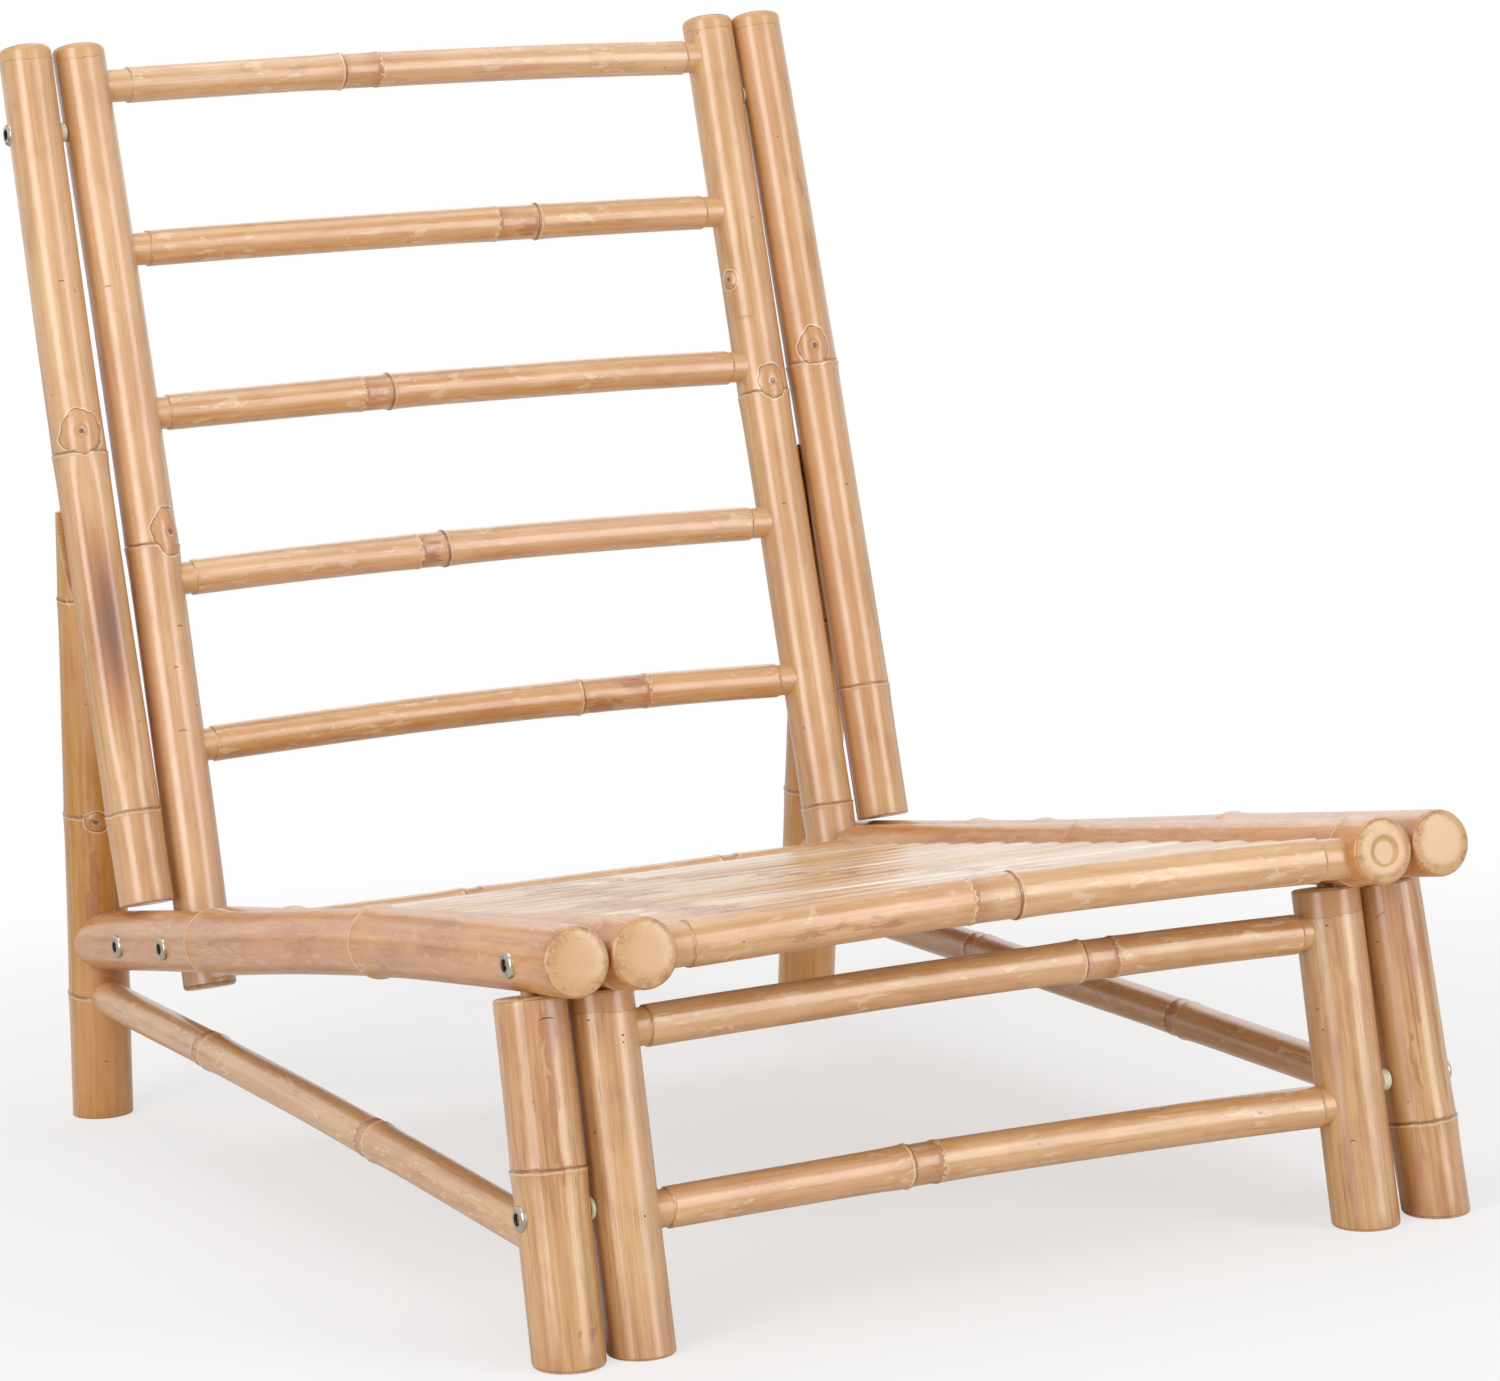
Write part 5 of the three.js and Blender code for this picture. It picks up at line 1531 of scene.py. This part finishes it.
# The insert with its thread, the shank, and the head with its socket
def boltRings(length):
    head = length + bolts["headHeight"]
    rim, rimTop = bolts["headRadius"], length + bolts["rimHeight"]
    insert, shank, socket = bolts["insertRadius"], bolts["shankRadius"], bolts["socketRadius"]
    pitch = bolts["threadPitch"]
    rings = [(insert - pitch / 2, 0, 1), (insert, pitch / 2, 1)]
    for place in np.arange(pitch, bolts["insertLength"] - 1, pitch):
        rings += [(insert, place, 1), (insert - bolts["threadDepth"], place + pitch / 2, 1)]
    rings += [(insert, bolts["insertLength"] - 0.3, 1), (shank, bolts["insertLength"], 1),
              (shank, length, 1), (rim - 0.3, length, 1), (rim, length + 0.35, 1), (rim, rimTop - 0.2, 1)]
    for i in range(1, 7):
        turn = math.pi / 2 * i / 6
        rings.append((rim - (rim - bolts["crownRadius"]) * (1 - math.cos(turn)),
                      rimTop + (head - rimTop) * math.sin(turn), 1))
    floor = head - bolts["socketDepth"]
    rings += [(socket + 1.1, head - 0.02, 1), (socket + 0.55, head - 0.35, 0.5), (socket, head - 0.8, 0),
              (socket, floor, 0), (socket * 0.5, floor - 0.3, 0.5)]
    # from the ring at the socket's edge inwards, the faces take the socket's painted shade
    return rings, len(rings) - 5


def addBolt(name, hand, place, outerRadius, outerPlane):
    bite = outerRadius - math.sqrt(outerRadius**2 - bolts["headRadius"] ** 2)
    start = atSide(place, hand, innerPlane - bolts["insertPastAxis"])
    seat = atSide(place, hand, outerPlane + outerRadius - bite)
    rings, paintedShadeFrom = boltRings(np.linalg.norm(seat - start))
    # the second material paints the shade inside each socket
    materials = [smallMaterials["brightNickel"], smallMaterials["socketPaintedShade"]]
    addTurned(name, start, seat, rings, False, materials, paintedShadeFrom)


def addSpacer(name, hand, place, innerSkin, gap):
    thickness = gap - 2 * chair["fitGap"]
    outer, hole = bolts["spacerRadius"], bolts["shankRadius"] + chair["fitGap"]
    soft = min(0.4, thickness / 4)
    rings = [(hole, soft, 1), (hole + soft, 0, 1), (outer - soft, 0, 1), (outer, soft, 1),
             (outer, thickness - soft, 1), (outer - soft, thickness, 1), (hole + soft, thickness, 1),
             (hole, thickness - soft, 1)]
    addTurned(name, atSide(place, hand, innerSkin + chair["fitGap"]), atSide(place, hand, innerSkin + gap),
              rings, True, [smallMaterials["mouldedNylon"]], 0)


def addPeg(name, start, end):
    length = np.linalg.norm(end - start)
    radius, chamfer = pegs["radius"], pegs["chamfer"]
    rings = [(radius - chamfer, 0, 1), (radius, chamfer, 1), (radius, length - chamfer, 1),
             (radius - chamfer, length, 1)]
    addTurned(name, start, end, rings, False, [smallMaterials["turnedBeech"]], 0)


for hand, sign in handSigns.items():
    shareDown = bolts["topDrop"] / chair["stileRise"]
    polePlane = (poleTopPlane(hand) + chair["poleFootSpread"][hand] * shareDown
                 + bowLift(chair["backPoleBow"][hand], shareDown))
    poleRadius = radii["poleTip"] + (radii["poleFoot"] - radii["poleTip"]) * shareDown
    stileShare = bolts["topDrop"] / (chair["stileRise"] + chair["stileTail"])
    stileSkin = innerPlane - bowLift(chair["stileBow"][hand], stileShare) + radii["stile"]
    topPlace = backCrossing + upBack * (chair["stileRise"] - bolts["topDrop"])
    lowPlace = atHeight(frontFoot, upFrontLeg, bolts["lowHeight"])
    legPlane = legTopPlane(hand) + chair["frontFootSplay"][hand] * (1 - bolts["lowHeight"] / legTop[2])
    seatRear = railFront + alongSeat * (innerRailLength - bolts["seatRear"])
    seatFront = railFront + alongSeat * bolts["seatFront"]
    addBolt(f"bolt_back_top_{hand}", hand, topPlace, poleRadius, polePlane)
    addBolt(f"bolt_back_foot_{hand}", hand, backCrossing, radii["rail"], railPlane)
    addBolt(f"bolt_seat_rear_{hand}", hand, seatRear, radii["rail"], railPlane)
    addBolt(f"bolt_seat_front_{hand}", hand, seatFront, radii["rail"], railPlane)
    addBolt(f"bolt_leg_{hand}", hand, lowPlace, radii["frontLeg"], legPlane)
    addSpacer(f"spacer_back_{hand}", hand, topPlace, stileSkin, polePlane - poleRadius - stileSkin)
    legSkin = innerLegPlane(hand) + radii["innerLeg"][hand]
    upperEdge = bolts["lowHeight"] + bolts["spacerRadius"]
    narrowPlane = legTopPlane(hand) + chair["frontFootSplay"][hand] * (1 - upperEdge / legTop[2])
    addSpacer(f"spacer_leg_{hand}", hand, lowPlace, legSkin, narrowPlane - radii["frontLeg"] - legSkin)
    for row in ("outer", "inner"):
        leg = frontLegs[f"{row}_front_leg_{hand}"]
        addPeg(f"leg_peg_{row}_{hand}", farEnd(leg) - leg["axis"] * pegs["inLeg"],
               farEnd(leg) + leg["axis"] * pegs["inRail"])
for name, joint, inwards, hostRadius in copedEnds:
    skin = joint - inwards * hostRadius
    addPeg(name, skin - inwards * pegs["copedReach"], skin + inwards * pegs["copedReach"])
print("bolts, spacers and pegs built")

# Each new mesh is set against its CAD node's box.
worst = []
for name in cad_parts:
    look = bpy.data.objects.get(name + "_look")
    if look is None:
        print("not replaced:", name)
        continue
    corners = np.array([vertex.co for vertex in look.data.vertices])
    low, high = (np.array(corner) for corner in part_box(name))
    gaps = np.concatenate([low - corners.min(0), corners.max(0) - high]) / mm
    worst.append((round(float(np.abs(gaps).max()), 2), name, [round(float(gap), 1) for gap in gaps]))
print("largest differences from the CAD boxes, mm:", sorted(worst)[-10:])
